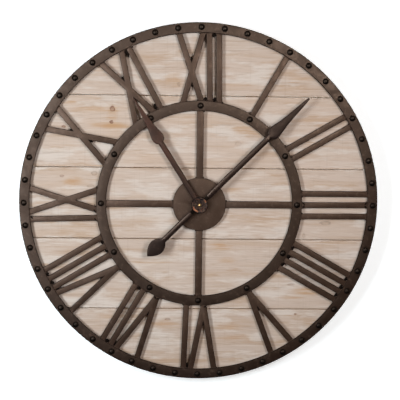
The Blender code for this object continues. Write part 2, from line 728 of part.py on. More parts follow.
def build_case():
    plate = flat_piece("case_front", [rounded_square(CASE_W, CORNER_R), circle(BUSH_BORE_R)],
                       INSIDE_FRONT, CASE_FRONT, "black_plastic")
    bush = tube_profile(BUSH_R, BUSH_BORE_R, INSIDE_FRONT + 0.2 * MM, BUSH_FRONT)
    join(plate, turned_piece("bush", bush, closed=True))

    tub = flat_piece("case_back", [rounded_square(CASE_W, CORNER_R)], CASE_BACK,
                     INSIDE_FRONT - FIT_GAP, "black_plastic")
    floor, mouth = CASE_BACK + CASE_WALL, INSIDE_FRONT + CASE_WALL
    side = CASE_W / 2 - CASE_WALL
    bay_top, gear_low = BAY_WALL_Z - BAY_WALL_T / 2, BAY_WALL_Z + BAY_WALL_T / 2
    gear_room = flat_piece("gear_room", [rectangle(-side, gear_low, side, side)], floor, mouth)
    bay = flat_piece("battery_bay", [rectangle(-side, -side, side, bay_top)], floor, mouth)
    lip = 1 * MM
    window = [rectangle(-side + lip, -side + lip, side - lip, bay_top - lip)]
    subtract(tub, gear_room, bay,
             flat_piece("battery_window", window, CASE_BACK - 1 * MM, floor + 1 * MM),
             flat_piece("knob_hole", [circle(1.7 * MM)], CASE_BACK - 1 * MM, floor + 1 * MM,
                        at=KNOB_AT))

    end, nub_r, nub = BATTERY_LENGTH / 2, 2.6 * MM, 1.4 * MM
    cell = [(0, end + nub), (nub_r, end + nub), (nub_r, end), (BATTERY_R - 0.6 * MM, end),
            (BATTERY_R, end - 0.6 * MM), (BATTERY_R, -end), (0, -end)]
    battery = turned_piece("battery", cell, "battery_jacket")
    battery.rotation_euler = (0, math.radians(90), 0)
    battery.location = (-nub / 2, -(CASE_BACK + 0.2 * MM + BATTERY_R),
                        (bay_top - side) / 2)

    hexagon = [polar(7.5 * MM, 60 * i) for i in range(6)]
    flat_piece("hex_nut", [hexagon, circle(BUSH_R + 0.1 * MM)], HUB_FRONT + FIT_GAP,
               BUSH_FRONT - FIT_GAP, "brass")


build_rings()
build_hub()
build_numerals()
build_boards()
build_hanger()
build_case()
build_motion_work()
build_going_train()
build_motor_and_circuit()
build_hour_hand()
build_minute_hand()
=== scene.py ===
"""Looks of a large round wall clock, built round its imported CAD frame.

The wall is the plane Y = 0, +Z is up and the dial faces -Y.  Pieces are drawn as seen from the
front: x to the right and y up from the hands' axis, with depth measured forward from the wall.
"""

import json
import math
import random

import bmesh
import bpy
from mathutils import Matrix, Vector, noise


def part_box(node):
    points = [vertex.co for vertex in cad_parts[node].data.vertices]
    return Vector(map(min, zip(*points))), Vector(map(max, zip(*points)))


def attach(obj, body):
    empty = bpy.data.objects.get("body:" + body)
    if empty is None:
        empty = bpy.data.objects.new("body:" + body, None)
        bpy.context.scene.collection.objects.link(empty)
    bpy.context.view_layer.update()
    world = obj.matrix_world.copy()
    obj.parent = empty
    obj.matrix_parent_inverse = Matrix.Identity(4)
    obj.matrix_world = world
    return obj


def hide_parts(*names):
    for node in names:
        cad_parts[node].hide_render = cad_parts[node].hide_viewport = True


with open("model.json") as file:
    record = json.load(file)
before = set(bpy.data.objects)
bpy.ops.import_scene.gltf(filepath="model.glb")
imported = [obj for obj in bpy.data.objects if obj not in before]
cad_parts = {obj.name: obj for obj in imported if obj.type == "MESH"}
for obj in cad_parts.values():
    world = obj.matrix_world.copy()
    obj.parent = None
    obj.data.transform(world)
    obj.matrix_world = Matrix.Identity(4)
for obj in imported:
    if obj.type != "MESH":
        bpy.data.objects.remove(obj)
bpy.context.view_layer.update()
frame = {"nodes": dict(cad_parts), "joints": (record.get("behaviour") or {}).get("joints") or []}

MM = 0.001
QUARTER = math.radians(90)
SHARP_ANGLE = math.radians(28)  # CAD edges that turn less belong to a round
SEED = 11
DRAW = random.Random(SEED)

AXIS = Vector(next(j["pos_m"] for j in frame["joints"] if j["name"] == "minute_turn"))
AXIS.y = 0.0


def depth_range(node):
    """How far in front of the wall a CAD node starts and ends."""
    low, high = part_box(node)
    return -high.y, -low.y


FRAME_BACK, FRAME_FRONT = depth_range("numeral_1_i1")
RIM_BACK, RIVET_TOP = depth_range("outer_ring")
BOARD_BACK, BOARD_FRONT = depth_range("board_3")
RING_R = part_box("outer_ring")[1].x
INNER_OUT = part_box("inner_ring")[1].x
HUB_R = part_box("hub_plate")[1].x
BOARD_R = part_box("board_3")[1].x

STRAP_W = 20 * MM
RIM_T = 3 * MM
INNER_RING_R = INNER_OUT - STRAP_W / 2
INNER_IN = INNER_OUT - STRAP_W
OUTER_RIVET_R = 341 * MM
OUTER_RIVETS = 48
INNER_RIVETS = 12
RIVET_R = 6.1 * MM
# How far each piece's edges are rounded off, and how far behind the front still counts as front.
HOOP_EDGE = 1.2 * MM
RING_EDGE = 1.1 * MM
HUB_EDGE = 0.9 * MM
STROKE_EDGE = 0.8 * MM
SPOKE_EDGE = 0.7 * MM
FRONT_FUZZ = 0.02 * MM

# The hands: angles clockwise from twelve, levels in front of the wall, lengths from their axis.
MINUTE_ANGLE = math.radians(45)
HOUR_ANGLE = math.radians(-32.3)
MINUTE_LEVEL = 57.2 * MM
HOUR_LEVEL = 49.4 * MM
ROD_W = 11 * MM
ROD_T = 5.4 * MM
BLADE_T = 3 * MM
SHOULDER_RISE = 13 * MM
MINUTE_BOSS_R = 16.4 * MM
MINUTE_ROD_AT = 22.5 * MM
MINUTE_BLADE_AT = 190 * MM
MINUTE_BLADE_W = 25 * MM
MINUTE_TIP_W = 4 * MM
MINUTE_LENGTH = 294 * MM
TANG_END = 28 * MM
TANG_HALF_W = 3.6 * MM
LEAF_AT = 98 * MM
LEAF_END = 142 * MM
LEAF_W = 30 * MM
HOUR_BOSS_R = 9 * MM
HOUR_BLADE_AT = 142 * MM
HOUR_BLADE_W = 24 * MM
HOUR_TIP_W = 2 * MM
HOUR_LENGTH = 240 * MM
ROD_STEPS = 12
SHAFT_HOLE_R = 4.8 * MM

BOARDS = range(1, 6)
EASED_EDGE = 1.3 * MM
HANGER_T = 1.5 * MM
HANGER_SCREW_X = 31 * MM
WALL_HALF = 0.6

HOURS = range(1, 13)
WELD_SINK = 0.15 * MM  # how far a weld's middle lies behind the straps' front
# How far a lump of painted shade sits behind the straps' front.
SHADE_LUMP_SINK = 0.8 * MM
WIDE_GAP = 9.5 * MM  # wider gaps between strokes are left open
CLEAN_HOUR = 9  # its gaps get no painted shade
NARROW_NOTCH = 1.4  # how narrow a notch is, out of 2 for one with no width
STROKES = sorted(name for name in frame["nodes"] if name.startswith("numeral_"))
SPOKES = sorted(name for name in frame["nodes"] if name.startswith("spoke_"))


# ---------------------------------------------------------------- material building blocks
class Nodes:
    """A node tree and short ways to add to it."""

    def __init__(self, tree):
        self.nodes = tree.nodes
        self.links = tree.links
        self.coordinates = self.nodes.new("ShaderNodeTexCoord").outputs
        self.place = self.coordinates["Object"]

    def feed(self, socket, value):
        """Links an output to the socket, or sets a constant on the socket itself."""
        if isinstance(value, bpy.types.NodeSocket):
            self.links.new(value, socket)
        elif isinstance(value, (tuple, list)) and len(value) == 3 and socket.type == 'RGBA':
            socket.default_value = (*value, 1)
        else:
            socket.default_value = value

    def add(self, kind, inputs):
        """A new node, its input sockets fed by name or number."""
        node = self.nodes.new(f"ShaderNode{kind}")
        for socket, value in inputs.items():
            self.feed(node.inputs[socket], value)
        return node

    def stretch(self, scale, offset=(0, 0, 0), vector=None):
        """The object's own coordinates, or a vector, scaled on each axis and then moved."""
        node = self.add("Mapping", {"Vector": vector or self.place, "Scale": scale,
                                    "Location": offset})
        return node.outputs["Vector"]

    def noise(self, vector, scale=1.0, detail=3.0, roughness=0.5, distortion=0.0):
        node = self.add("TexNoise", {"Vector": vector, "Scale": scale, "Detail": detail,
                                     "Roughness": roughness, "Distortion": distortion})
        return node.outputs["Fac"]

    def cells(self, vector, scale):
        return self.add("TexVoronoi", {"Vector": vector, "Scale": scale}).outputs["Distance"]

    def spread(self, value, low, high, to_low=0.0, to_high=1.0, smooth=True):
        """The value's part between low and high, clamped and mapped to a new range."""
        node = self.add("MapRange", {"Value": value, "From Min": low, "From Max": high,
                                     "To Min": to_low, "To Max": to_high})
        node.interpolation_type = 'SMOOTHSTEP' if smooth else 'LINEAR'
        return node.outputs["Result"]

    def mix(self, share, a, b):
        """Colour a where the share is 0 and colour b where it is 1."""
        node = self.nodes.new("ShaderNodeMix")
        node.data_type = 'RGBA'
        self.feed(node.inputs[0], share)
        self.feed(node.inputs[6], a)
        self.feed(node.inputs[7], b)
        return node.outputs[2]

    def calc(self, operation, a, b):
        node = self.add("Math", {0: a, 1: b})
        node.operation = operation
        return node.outputs[0]

    def times(self, a, b):
        return self.calc('MULTIPLY', a, b)

    def length(self, vector):
        node = self.add("VectorMath", {0: vector})
        node.operation = 'LENGTH'
        return node.outputs["Value"]

    def choose(self, share, first, second, output):
        """Shows the first shader where the share is 0 and the second where it is 1."""
        pick = self.add("MixShader", {0: share, 1: first.outputs[0], 2: second.outputs[0]})
        self.links.new(pick.outputs[0], output.inputs["Surface"])


class Graph(Nodes):
    """A procedural material: a Principled shader and short ways to feed it."""

    def __init__(self, name, roughness=0.5, metallic=0.0, specular=0.5, tint=(1, 1, 1)):
        self.material = bpy.data.materials.new(name)
        self.material.use_nodes = True
        super().__init__(self.material.node_tree)
        self.shader = self.nodes["Principled BSDF"]
        for socket, value in (("Roughness", roughness), ("Metallic", metallic),
                              ("Specular IOR Level", specular), ("Specular Tint", tint)):
            self.feed(self.shader.inputs[socket], value)

    def spot(self, centre, size, wobble, sharp):
        """1 inside a ragged ellipse on the dial plane, 0 outside; centre is (x, y) from the
        axis. A lower sharp gives a softer rim."""
        cx, cy = centre
        rx, ry = size
        offset = (-cx / rx, 0, -(cy + AXIS.z) / ry)
        plain = self.length(self.stretch((1 / rx, 0, 1 / ry), offset))
        rough = self.noise(self.stretch((0.6 / rx, 0, 0.9 / ry), offset), 1.5, 2)
        reach = self.calc('ADD', plain,
                          self.times(self.calc('SUBTRACT', rough, 0.5), 4 * wobble))
        return self.spread(reach, 1.0, sharp, 0.0, 1.0)

    def paint(self, colour, roughness=None):
        self.feed(self.shader.inputs["Base Color"], colour)
        if roughness is not None:
            self.feed(self.shader.inputs["Roughness"], roughness)

    def bump(self, *layers):
        """Each layer is (height socket, depth in millimetres)."""
        normal = None
        for height, depth in layers:
            node = self.add("Bump", {"Strength": 1.0, "Distance": depth * MM, "Height": height})
            if normal:
                self.feed(node.inputs["Normal"], normal)
            normal = node.outputs["Normal"]
        self.feed(self.shader.inputs["Normal"], normal)


# ---------------------------------------------------------------- materials
RED_KNOT, GREY_KNOT = (0.17, 0.065, 0.042), (0.17, 0.135, 0.115)


def lacquered_metal(name, dark, light, roughness, worn=(0.105, 0.068, 0.052), wear=0.45,
                    specular=0.75, metallic=0.2):
    """Dark lacquer on flat steel: cloudy, finely pitted, rubbed lighter in small patches."""
    g = Graph(name, roughness, metallic, specular, (1.0, 0.80, 0.68))
    cloud = g.noise(g.place, 22, 4, 0.6)
    grain = g.noise(g.place, 420, 3, 0.6)
    brushed = g.noise(g.stretch((900, 900, 90)), 1, 2)
    colour = g.mix(g.spread(cloud, 0.3, 0.7), dark, light)
    colour = g.mix(g.spread(grain, 0.35, 0.65, 0.0, 0.7), colour, dark)
    rubbed = g.spread(g.noise(g.place, 95, 5, 0.7), 0.52, 0.70, 0.0, wear)
    colour = g.mix(rubbed, colour, worn)
    shine = g.spread(g.noise(g.place, 60, 3), 0.3, 0.7, roughness - 0.07, roughness + 0.08)
    g.paint(colour, shine)
    g.bump((g.noise(g.place, 140, 4, 0.6), 0.25), (grain, 0.05), (brushed, 0.02))
    return g.material


def mottled_boss():
    """The minute hand's boss: dark lacquer scorched to red, gold and blue-black by the torch."""
    g = Graph("boss_metal", 0.42, 0.2, 0.22, (1.0, 0.85, 0.75))
    patches = g.noise(g.place, 300, 2, 0.6)
    specks = g.noise(g.stretch((430, 430, 430), (7, 3, 5)), 1, 2, 0.6)
    colour = g.mix(g.spread(patches, 0.42, 0.58), (0.010, 0.007, 0.008), (0.072, 0.048, 0.036))
    colour = g.mix(g.spread(specks, 0.57, 0.64, 0.0, 0.9), colour, (0.088, 0.032, 0.022))
    colour = g.mix(g.spread(specks, 0.45, 0.38, 0.0, 0.9), colour, (0.005, 0.005, 0.009))
    g.paint(colour, g.spread(patches, 0.3, 0.7, 0.34, 0.52))
    g.bump((patches, 0.12), (specks, 0.06))
    return g.material


def whitewashed_wood(number, tone, patches, knots):
    """Sawn fir under a thin white wash; grain runs along X and is new on every board."""
    g = Graph(f"whitewashed_wood_{number}", 0.82, 0.0, 0.25)
    shift = (3.1 * number, 0.7 * number, 5.3 * number)
    other = (5.1 * number, 2.0, 9.7 * number)
    bent = g.noise(g.stretch((4.5, 0, 17), shift), 1, 2)
    lift = g.add("CombineXYZ", {"Z": g.times(g.calc('SUBTRACT', bent, 0.5), 0.015)})
    moved = g.add("VectorMath", {0: g.place, 1: lift.outputs["Vector"]})
    moved.operation = 'ADD'
    flow = moved.outputs["Vector"]

    rings = g.noise(g.stretch((2.6, 8, 95), shift, flow), 1, 4, 0.62, 0.3)
    fibres = g.noise(g.stretch((26, 60, 640), shift, flow), 1, 3, 0.65)
    streaks = g.noise(g.stretch((9, 10, 250), shift, flow), 1, 4, 0.72)
    brushing = g.noise(g.stretch((13, 20, 350), other, flow), 1, 4, 0.68)
    wash = g.noise(g.stretch((9, 5, 42), shift), 1, 4, 0.62)
    stain = g.noise(g.stretch((8, 5, 46), other), 1, 4, 0.62)
    saw = g.noise(g.stretch((330, 8, 9), shift), 1, 2, 0.5)

    pale = tuple(c * t for c, t in zip((0.580, 0.470, 0.405), tone))
    tan = tuple(c * t for c, t in zip((0.485, 0.337, 0.238), tone))
    brown = (0.28, 0.180, 0.122)
    white = (0.672, 0.598, 0.552)
    orange = (0.490, 0.303, 0.175)
    colour = g.mix(g.spread(rings, 0.42, 0.66, 0.0, 0.45), pale, tan)
    colour = g.mix(g.spread(stain, 0.52, 0.66, 0.0, 0.70), colour, tan)
    colour = g.mix(g.spread(wash, 0.50, 0.62, 0.0, 0.75), colour, white)
    busy = g.spread(g.noise(g.stretch((5, 5, 13), other), 1, 2), 0.38, 0.60, 0.35, 1.15)
    colour = g.mix(g.times(busy, g.spread(streaks, 0.55, 0.72, 0.0, 0.42)), colour, brown)
    colour = g.mix(g.spread(fibres, 0.48, 0.72, 0.0, 0.30), colour, brown)
    colour = g.mix(g.times(busy, g.spread(brushing, 0.50, 0.68, 0.0, 0.62)), colour, white)
    colour = g.mix(g.spread(saw, 0.60, 0.72, 0.0, 0.10), colour, brown)
    for centre, size, strength in patches:
        worn_in = g.spread(brushing, 0.66, 0.40, 0.40 * strength, min(1.3 * strength, 1.0))
        mask = g.times(g.spot(centre, size, 0.40, 0.0), worn_in)
        colour = g.mix(mask, colour, orange)
    height = g.times(streaks, -1.0)
    for centre, size, strength, heart in knots:
        halo = g.spot(centre, (size[0] * 2.4, size[1] * 1.9), 0.3, 0.1)
        colour = g.mix(g.times(halo, 0.35 * strength), colour, orange)
        whole = g.spot(centre, size, 0.20, 0.75)
        heartwood = g.spot(centre, (size[0] * 0.66, size[1] * 0.66), 0.20, 0.6)
        ring = g.times(g.calc('SUBTRACT', whole, g.times(heartwood, 0.8)),
                       g.spread(g.noise(g.place, 230, 2), 0.35, 0.6, 0.35, 1.0))
        fill = 0.75 if heart is RED_KNOT else 0.25
        grain = g.spread(g.noise(g.place, 300, 3), 0.35, 0.62, 0.55 * strength, strength)
        colour = g.mix(g.times(g.times(whole, fill), grain), colour, heart)
        colour = g.mix(g.times(ring, 0.6 * strength), colour, heart)
        height = g.calc('SUBTRACT', height, g.times(whole, 1.2))
    g.paint(colour, g.spread(wash, 0.3, 0.7, 0.76, 0.9))
    g.bump((height, 0.40), (fibres, 0.12), (saw, 0.10))
    return g.material


def bare_pine(name, pale=(0.62, 0.43, 0.25), dark=(0.42, 0.245, 0.115), along_x=False):
    """Planed pine without paint; the grain runs up the piece unless along_x is set."""
    g = Graph(name, 0.7, 0.0, 0.3)
    scale = (2.0, 40, 70) if along_x else (70, 40, 2.0)
    fine = (14, 200, 500) if along_x else (500, 200, 14)
    rings = g.noise(g.stretch(scale), 1, 4, 0.55, 0.4)
    fibres = g.noise(g.stretch(fine), 1, 3, 0.6)
    colour = g.mix(g.spread(rings, 0.40, 0.64), pale, dark)
    colour = g.mix(g.spread(fibres, 0.4, 0.75, 0.0, 0.35), colour, dark)
    g.paint(colour, g.spread(fibres, 0.3, 0.7, 0.62, 0.8))
    g.bump((rings, 0.15), (fibres, 0.08))
    return g.material


def moulded_plastic(name, colour, roughness, tint=0.85):
    """Plastic with a fine moulded grain, cloudy by the tint."""
    g = Graph(name, roughness, 0.0)
    darker = tuple(c * tint for c in colour)
    sheen = g.noise(g.place, 40, 2)
    spark = g.cells(g.place, 2600)
    g.paint(g.mix(g.spread(sheen, 0.3, 0.7), colour, darker),
            g.spread(sheen, 0.3, 0.7, roughness - 0.05, roughness + 0.07))
    g.bump((spark, 0.03))
    return g.material


def plated_metal(name, colour, dull, roughness, metallic=1.0):
    """Plated or turned metal with fine turning lines and a few dull patches."""
    g = Graph(name, roughness, metallic)
    cloud = g.noise(g.place, 160, 4, 0.6)
    lines = g.noise(g.stretch((60, 4200, 60)), 1, 2)
    g.paint(g.mix(g.spread(cloud, 0.4, 0.7, 0.0, 0.7), colour, dull),
            g.spread(cloud, 0.3, 0.7, roughness - 0.06, roughness + 0.12))
    g.bump((lines, 0.02), (cloud, 0.03))
    return g.material


def wound_copper():
    """Enamelled wire: fine turns side by side along X."""
    g = Graph("wound_copper", 0.35, 0.8)
    turns = g.add("TexWave", {"Vector": g.place, "Scale": 800})
    turns.bands_direction = 'X'
    g.paint(g.mix(turns.outputs["Fac"], (0.30, 0.10, 0.04), (0.72, 0.33, 0.16)))
    g.bump((turns.outputs["Fac"], 0.08))
    return g.material


FRAME_METAL = lacquered_metal("frame_metal", (0.027, 0.0140, 0.0095), (0.047, 0.026, 0.018), 0.46,
                              specular=0.8)
RING_METAL = lacquered_metal("ring_metal", (0.013, 0.0065, 0.0045), (0.023, 0.0125, 0.0090), 0.44,
                             specular=0.8)
FLANGE_METAL = lacquered_metal("flange_metal", (0.0105, 0.0048, 0.0034), (0.0180, 0.0088, 0.0062),
                               0.44, specular=0.8)
# Near black: painted shade on the straps' rounded edges and sides, drawing their dark outlines.
EDGE_SHADE_METAL = lacquered_metal("frame_edge_painted_shade", (0.005, 0.0030, 0.0024), (0.011, 0.0065, 0.0050), 0.50,
                             wear=0.2, specular=0.25)
HOOP_METAL = lacquered_metal("hoop_metal", (0.020, 0.0115, 0.0085), (0.034, 0.020, 0.0145), 0.50)
HAND_METAL = lacquered_metal("hand_metal", (0.014, 0.0080, 0.0072), (0.024, 0.0145, 0.0125), 0.31,
                             worn=(0.05, 0.030, 0.025), specular=0.60)
BLADE_METAL = lacquered_metal("blade_metal", (0.013, 0.0080, 0.0076), (0.022, 0.0140, 0.0130), 0.38,
                              worn=(0.05, 0.030, 0.025), specular=0.30)
HOUR_METAL = lacquered_metal("hour_hand_metal", (0.022, 0.0125, 0.0110), (0.054, 0.0200, 0.0140),
                             0.42, worn=(0.075, 0.040, 0.030), specular=0.36)
RIVET_METAL = lacquered_metal("rivet_metal", (0.003, 0.0025, 0.0023), (0.007, 0.0050, 0.0045), 0.36,
                              worn=(0.03, 0.020, 0.015), wear=0.2, specular=0.36)
# Darker than the frame: partly weld colour and partly painted shade for the dark spots at the
# strokes' corners.
WELD_AND_SHADE_METAL = lacquered_metal("weld_and_shade_metal", (0.012, 0.0065, 0.0050), (0.026, 0.015, 0.011), 0.5,
                             wear=0.1, specular=0.5)
# Near black: painted shade for narrow gaps between strokes, the boss's rim and the minute hand's
# tangs.
SHADE_BLACK = lacquered_metal("painted_shade_black", (0.0015, 0.0010, 0.0010), (0.004, 0.0025, 0.0022), 0.60,
                       wear=0.05, specular=0.10, metallic=0.0)
BOSS_METAL = mottled_boss()
BRAZE = plated_metal("braze", (0.46, 0.185, 0.095), (0.15, 0.055, 0.032), 0.50, 0.5)
BRASS = plated_metal("brass", (0.80, 0.60, 0.28), (0.50, 0.34, 0.14), 0.25)
ZINC = plated_metal("zinc_steel", (0.62, 0.62, 0.60), (0.42, 0.43, 0.43), 0.36)
NICKEL = plated_metal("nickel", (0.70, 0.69, 0.66), (0.50, 0.49, 0.47), 0.25)
DARK_SCREW = plated_metal("screw_steel", (0.30, 0.27, 0.22), (0.16, 0.14, 0.12), 0.38)
MAGNET = plated_metal("magnet", (0.30, 0.30, 0.31), (0.20, 0.20, 0.21), 0.45)
COPPER = wound_copper()
BLACK_PLASTIC = moulded_plastic("black_plastic", (0.022, 0.022, 0.024), 0.42)
WHITE_PLASTIC = moulded_plastic("white_plastic", (0.72, 0.72, 0.69), 0.4, 0.93)
JACKET = moulded_plastic("battery_jacket", (0.035, 0.045, 0.055), 0.28)
JACKET_BAND = moulded_plastic("battery_band", (0.55, 0.36, 0.12), 0.3)
LAMINATE = moulded_plastic("circuit_laminate", (0.03, 0.17, 0.08), 0.4)
PINE = bare_pine("bare_pine")
BOARD_REAR = bare_pine("board_rear", (0.60, 0.44, 0.29), (0.42, 0.27, 0.16), along_x=True)


# ---------------------------------------------------------------- shape building blocks
def stood_up(turn=0.0):
    """Takes a drawing (x, y, depth) to its place, turned clockwise about the hands' axis."""
    upright = Matrix.Rotation(turn, 4, 'Y') @ Matrix.Rotation(QUARTER, 4, 'X')
    return Matrix.Translation(AXIS) @ upright


def new_mesh(name, bm):
    """The finished mesh of a drawing."""
    mesh = bpy.data.meshes.new(name)
    bm.to_mesh(mesh)
    bm.free()
    return mesh


def new_object(name, data):
    """An object with its data, linked into the scene."""
    obj = bpy.data.objects.new(name, data)
    bpy.context.scene.collection.objects.link(obj)
    return obj


def add_piece(name, bm, materials, body="clock", stands_for=(), turn=0.0, upright=True,
              sharp=40):
    """Makes a piece from a drawing, smooth-shaded, riding on its CAD body."""
    if upright:
        bm.transform(stood_up(turn))
    mesh = new_mesh(name, bm)
    for material in materials:
        mesh.materials.append(material)
    mesh.shade_smooth()
    mesh.set_sharp_from_angle(angle=math.radians(sharp))
    obj = new_object(name, mesh)
    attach(obj, body)
    if stands_for:
        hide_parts(*stands_for)
    return obj


def polar(radius, clockwise):
    """Point at a radius and an angle in radians clockwise from twelve."""
    return Vector((radius * math.sin(clockwise), radius * math.cos(clockwise)))


def eased(points, reach, steps=4):
    """A closed outline whose corners are rounded off over the given reach."""
    made = []
    count = len(points)
    for i, here in enumerate(points):
        here = Vector(here)
        before = Vector(points[i - 1]) - here
        after = Vector(points[(i + 1) % count]) - here
        cut = min(reach, before.length * 0.45, after.length * 0.45)
        start, end = here + before.normalized() * cut, here + after.normalized() * cut
        for k in range(steps + 1):
            f = k / steps
            made.append(start.lerp(here, f).lerp(here.lerp(end, f), f))
    return made


def lathe(bm, loop, steps, flutes=0, flute_depth=0.0):
    """Turns a closed loop of (radius, depth) about the drawing's axis; on-axis points are kept
    single."""
    rows = []
    for radius, depth in loop:
        if radius < 1e-7:
            rows.append([bm.verts.new((0, 0, depth))])
            continue
        row = []
        for k in range(steps):
            a = 2 * math.pi * k / steps
            r = radius * (1 + flute_depth * math.cos(flutes * a)) if flutes else radius
            row.append(bm.verts.new((r * math.cos(a), r * math.sin(a), depth)))
        rows.append(row)
    for first, second in zip(rows, rows[1:] + rows[:1]):
        if len(first) == 1 and len(second) == 1:
            continue
        for k in range(steps):
            quad = [first[k % len(first)], first[(k + 1) % len(first)],
                    second[(k + 1) % len(second)], second[k % len(second)]]
            bm.faces.new(list(dict.fromkeys(quad)))
    bmesh.ops.recalc_face_normals(bm, faces=bm.faces)
    return bm


def refined(node, edge, steps=2):
    """A copy of a CAD node with its flat faces made whole and its edges rounded; the rounded
    edges take the second material."""
    bm = bmesh.new()
    bm.from_mesh(frame["nodes"][node].data)
    bmesh.ops.remove_doubles(bm, verts=bm.verts, dist=2e-6)
    bmesh.ops.dissolve_limit(bm, angle_limit=math.radians(1.0), verts=bm.verts, edges=bm.edges)
    sharp = [e for e in bm.edges
             if len(e.link_faces) == 2 and e.calc_face_angle() > SHARP_ANGLE]
    bmesh.ops.bevel(bm, geom=sharp, offset=edge, segments=steps, profile=0.6, affect='EDGES',
                    clamp_overlap=True, material=1)
    for face in bm.faces:
        face.material_index = min(face.material_index, 1)
    return bm


def refine(node, name, edge, materials, steps=2):
    """A piece of the fixed body that stands for a CAD node, with the node's edges rounded."""
    add_piece(name, refined(node, edge, steps), materials, stands_for=(node,),
              upright=False)


def lump(bm, centre, size, seed, rough=0.22, detail=2, material=0, aim=(0.0, 1.0)):
    """A small irregular blob, flattened on the strap it sits on, its second size along aim."""
    made = bmesh.ops.create_icosphere(bm, subdivisions=detail, radius=1.0)
    for face in {f for v in made["verts"] for f in v.link_faces}:
        face.material_index = material
    sx, sy, sz = size
    aim_x, aim_y = aim
    for vert in made["verts"]:
        direction = vert.co.normalized()
        swell = 1 + rough * noise.noise(direction * 1.7 + Vector((seed * 3.7, seed, 0.3)))
        x, y = direction.x * sx * swell, direction.y * sy * swell
        vert.co = Vector((x * aim_y + y * aim_x + centre[0], y * aim_y - x * aim_x + centre[1],
                          max(direction.z, -0.25) * sz * swell + centre[2]))


def loft(bm, stations, level, material=0):
    """Joins oval sections along +Y: each is (y, half width, half thickness, squareness)."""
    around = 28
    rows = []
    for y, half_w, half_t, square in stations:
        row = []
        for k in range(around):
            a = 2 * math.pi * k / around
            c, s = math.cos(a), math.sin(a)
            x = half_w * math.copysign(abs(c) ** (2 / square), c)
            z = half_t * math.copysign(abs(s) ** (2 / square), s)
            row.append(bm.verts.new((x, y, level + z)))
        rows.append(row)
    for first, second in zip(rows, rows[1:]):
        for k in range(around):
            n = (k + 1) % around
            bm.faces.new((first[k], first[n], second[n], second[k])).material_index = material
    for row in (rows[0], rows[-1]):
        bm.faces.new(row).material_index = material
    bmesh.ops.recalc_face_normals(bm, faces=bm.faces)
    return bm


# ---------------------------------------------------------------- metal frame
def build_rings():
    """The hoop: a flat flange and a deep band rolled as one; the inner ring is flat strap."""
    flange, bore = RING_R - STRAP_W, RING_R - RIM_T
    section = [(flange, FRAME_FRONT), (RING_R, FRAME_FRONT), (RING_R, RIM_BACK),
               (bore, RIM_BACK), (bore, FRAME_BACK), (flange, FRAME_BACK)]
    hoop = lathe(bmesh.new(), eased(section, HOOP_EDGE), 288)
    # The rounded edges and sides behind the front take the painted-shade edge material; the band
    # further back takes its own.
    for face in hoop.faces:
        depth = face.calc_center_median().z
        if depth < FRAME_BACK - MM:
            face.material_index = 2
        elif depth < FRAME_FRONT - FRONT_FUZZ:
            face.material_index = 1
    add_piece("hoop", hoop, (FLANGE_METAL, EDGE_SHADE_METAL, HOOP_METAL),
              stands_for=("outer_ring",))
    strap = [(INNER_OUT, FRAME_FRONT), (INNER_OUT, FRAME_BACK), (INNER_IN, FRAME_BACK),
             (INNER_IN, FRAME_FRONT)]
    ring = lathe(bmesh.new(), eased(strap, RING_EDGE), 240)
    # The rounded edges and sides behind the front take the painted-shade edge material.
    for face in ring.faces:
        if face.calc_center_median().z < FRAME_FRONT - FRONT_FUZZ:
            face.material_index = 1
    add_piece("numeral_ring", ring, (RING_METAL, EDGE_SHADE_METAL),
              stands_for=("inner_ring",))


def rivet_mesh():
    """A hammered dome on a thin rolled collar."""
    bm = bmesh.new()
    height = RIVET_TOP - FRAME_FRONT
    collar = 0.35 * MM
    dome = [(0.0, height)]
    steps = 9
    for i in range(1, steps + 1):
        a = QUARTER * i / steps
        dome.append((RIVET_R * 0.94 * math.sin(a) ** 0.92,
                     collar + (height - collar) * math.cos(a) ** 1.05))
    dome += [(RIVET_R, collar * 0.6), (RIVET_R, -0.1 * MM), (0.0, -0.1 * MM)]
    lathe(bm, dome, 28)
    for vert in bm.verts:
        if vert.co.z > collar:
            dent = noise.noise(Vector((vert.co.x, vert.co.y, 0)) * 420)
            vert.co.z += 0.16 * MM * dent
    mesh = new_mesh("rivet", bm)
    mesh.materials.append(RIVET_METAL)
    mesh.shade_smooth()
    return mesh


def build_rivets():
    """Copies of one head round both rings, each a little tilted and turned its own way."""
    mesh = rivet_mesh()
    for ring, count, radius in (("outer", OUTER_RIVETS, OUTER_RIVET_R),
                                ("inner", INNER_RIVETS, INNER_RING_R)):
        for number in range(count):
            at = polar(radius, 2 * math.pi * number / count)
            rivet = new_object(f"rivet_{ring}_{number + 1}", mesh)
            tilt = Matrix.Rotation(DRAW.uniform(-0.05, 0.05), 4, 'X')
            spin = Matrix.Rotation(DRAW.uniform(0, 6.28), 4, 'Z')
            seat = Matrix.Translation((at.x, at.y, FRAME_FRONT))
            rivet.matrix_world = stood_up() @ seat @ tilt @ spin
            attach(rivet, "clock")


def front_corners(node):
    """The corners of a stroke's front face, as drawn; a notch comes with the way it opens, which
    is the longer the narrower the notch."""
    bm = refined(node, 0.0)
    bm.transform(stood_up().inverted())
    face = max(bm.faces, key=lambda f: (f.calc_center_median().z > FRAME_FRONT - 1e-4,
                                        f.calc_area()))
    corners = []
    for loop in face.loops:
        here = loop.vert.co.xy.copy()
        before = (loop.link_loop_prev.vert.co.xy - here).normalized()
        after = (loop.link_loop_next.vert.co.xy - here).normalized()
        corners.append((here, None if loop.is_convex else before + after))
    bm.free()
    return corners


def joints_near(corners, radius):
    """The first and last corner of each stroke end that lies on a ring's edge."""
    apart = 16 * MM
    near = [c for c, _ in corners if abs(c.length - radius) < 1.2 * MM]
    near.sort(key=lambda c: math.atan2(c.x, c.y))
    if near:
        turn = math.atan2(near[0].x, near[0].y)
        near.sort(key=lambda c: (math.atan2(c.x, c.y) - turn + math.pi) % (2 * math.pi))
    groups = []
    for corner in near:
        if groups and (corner - groups[-1][-1]).length < apart:
            groups[-1].append(corner)
        else:
            groups.append([corner])
    return [(g[0], g[-1]) for g in groups]


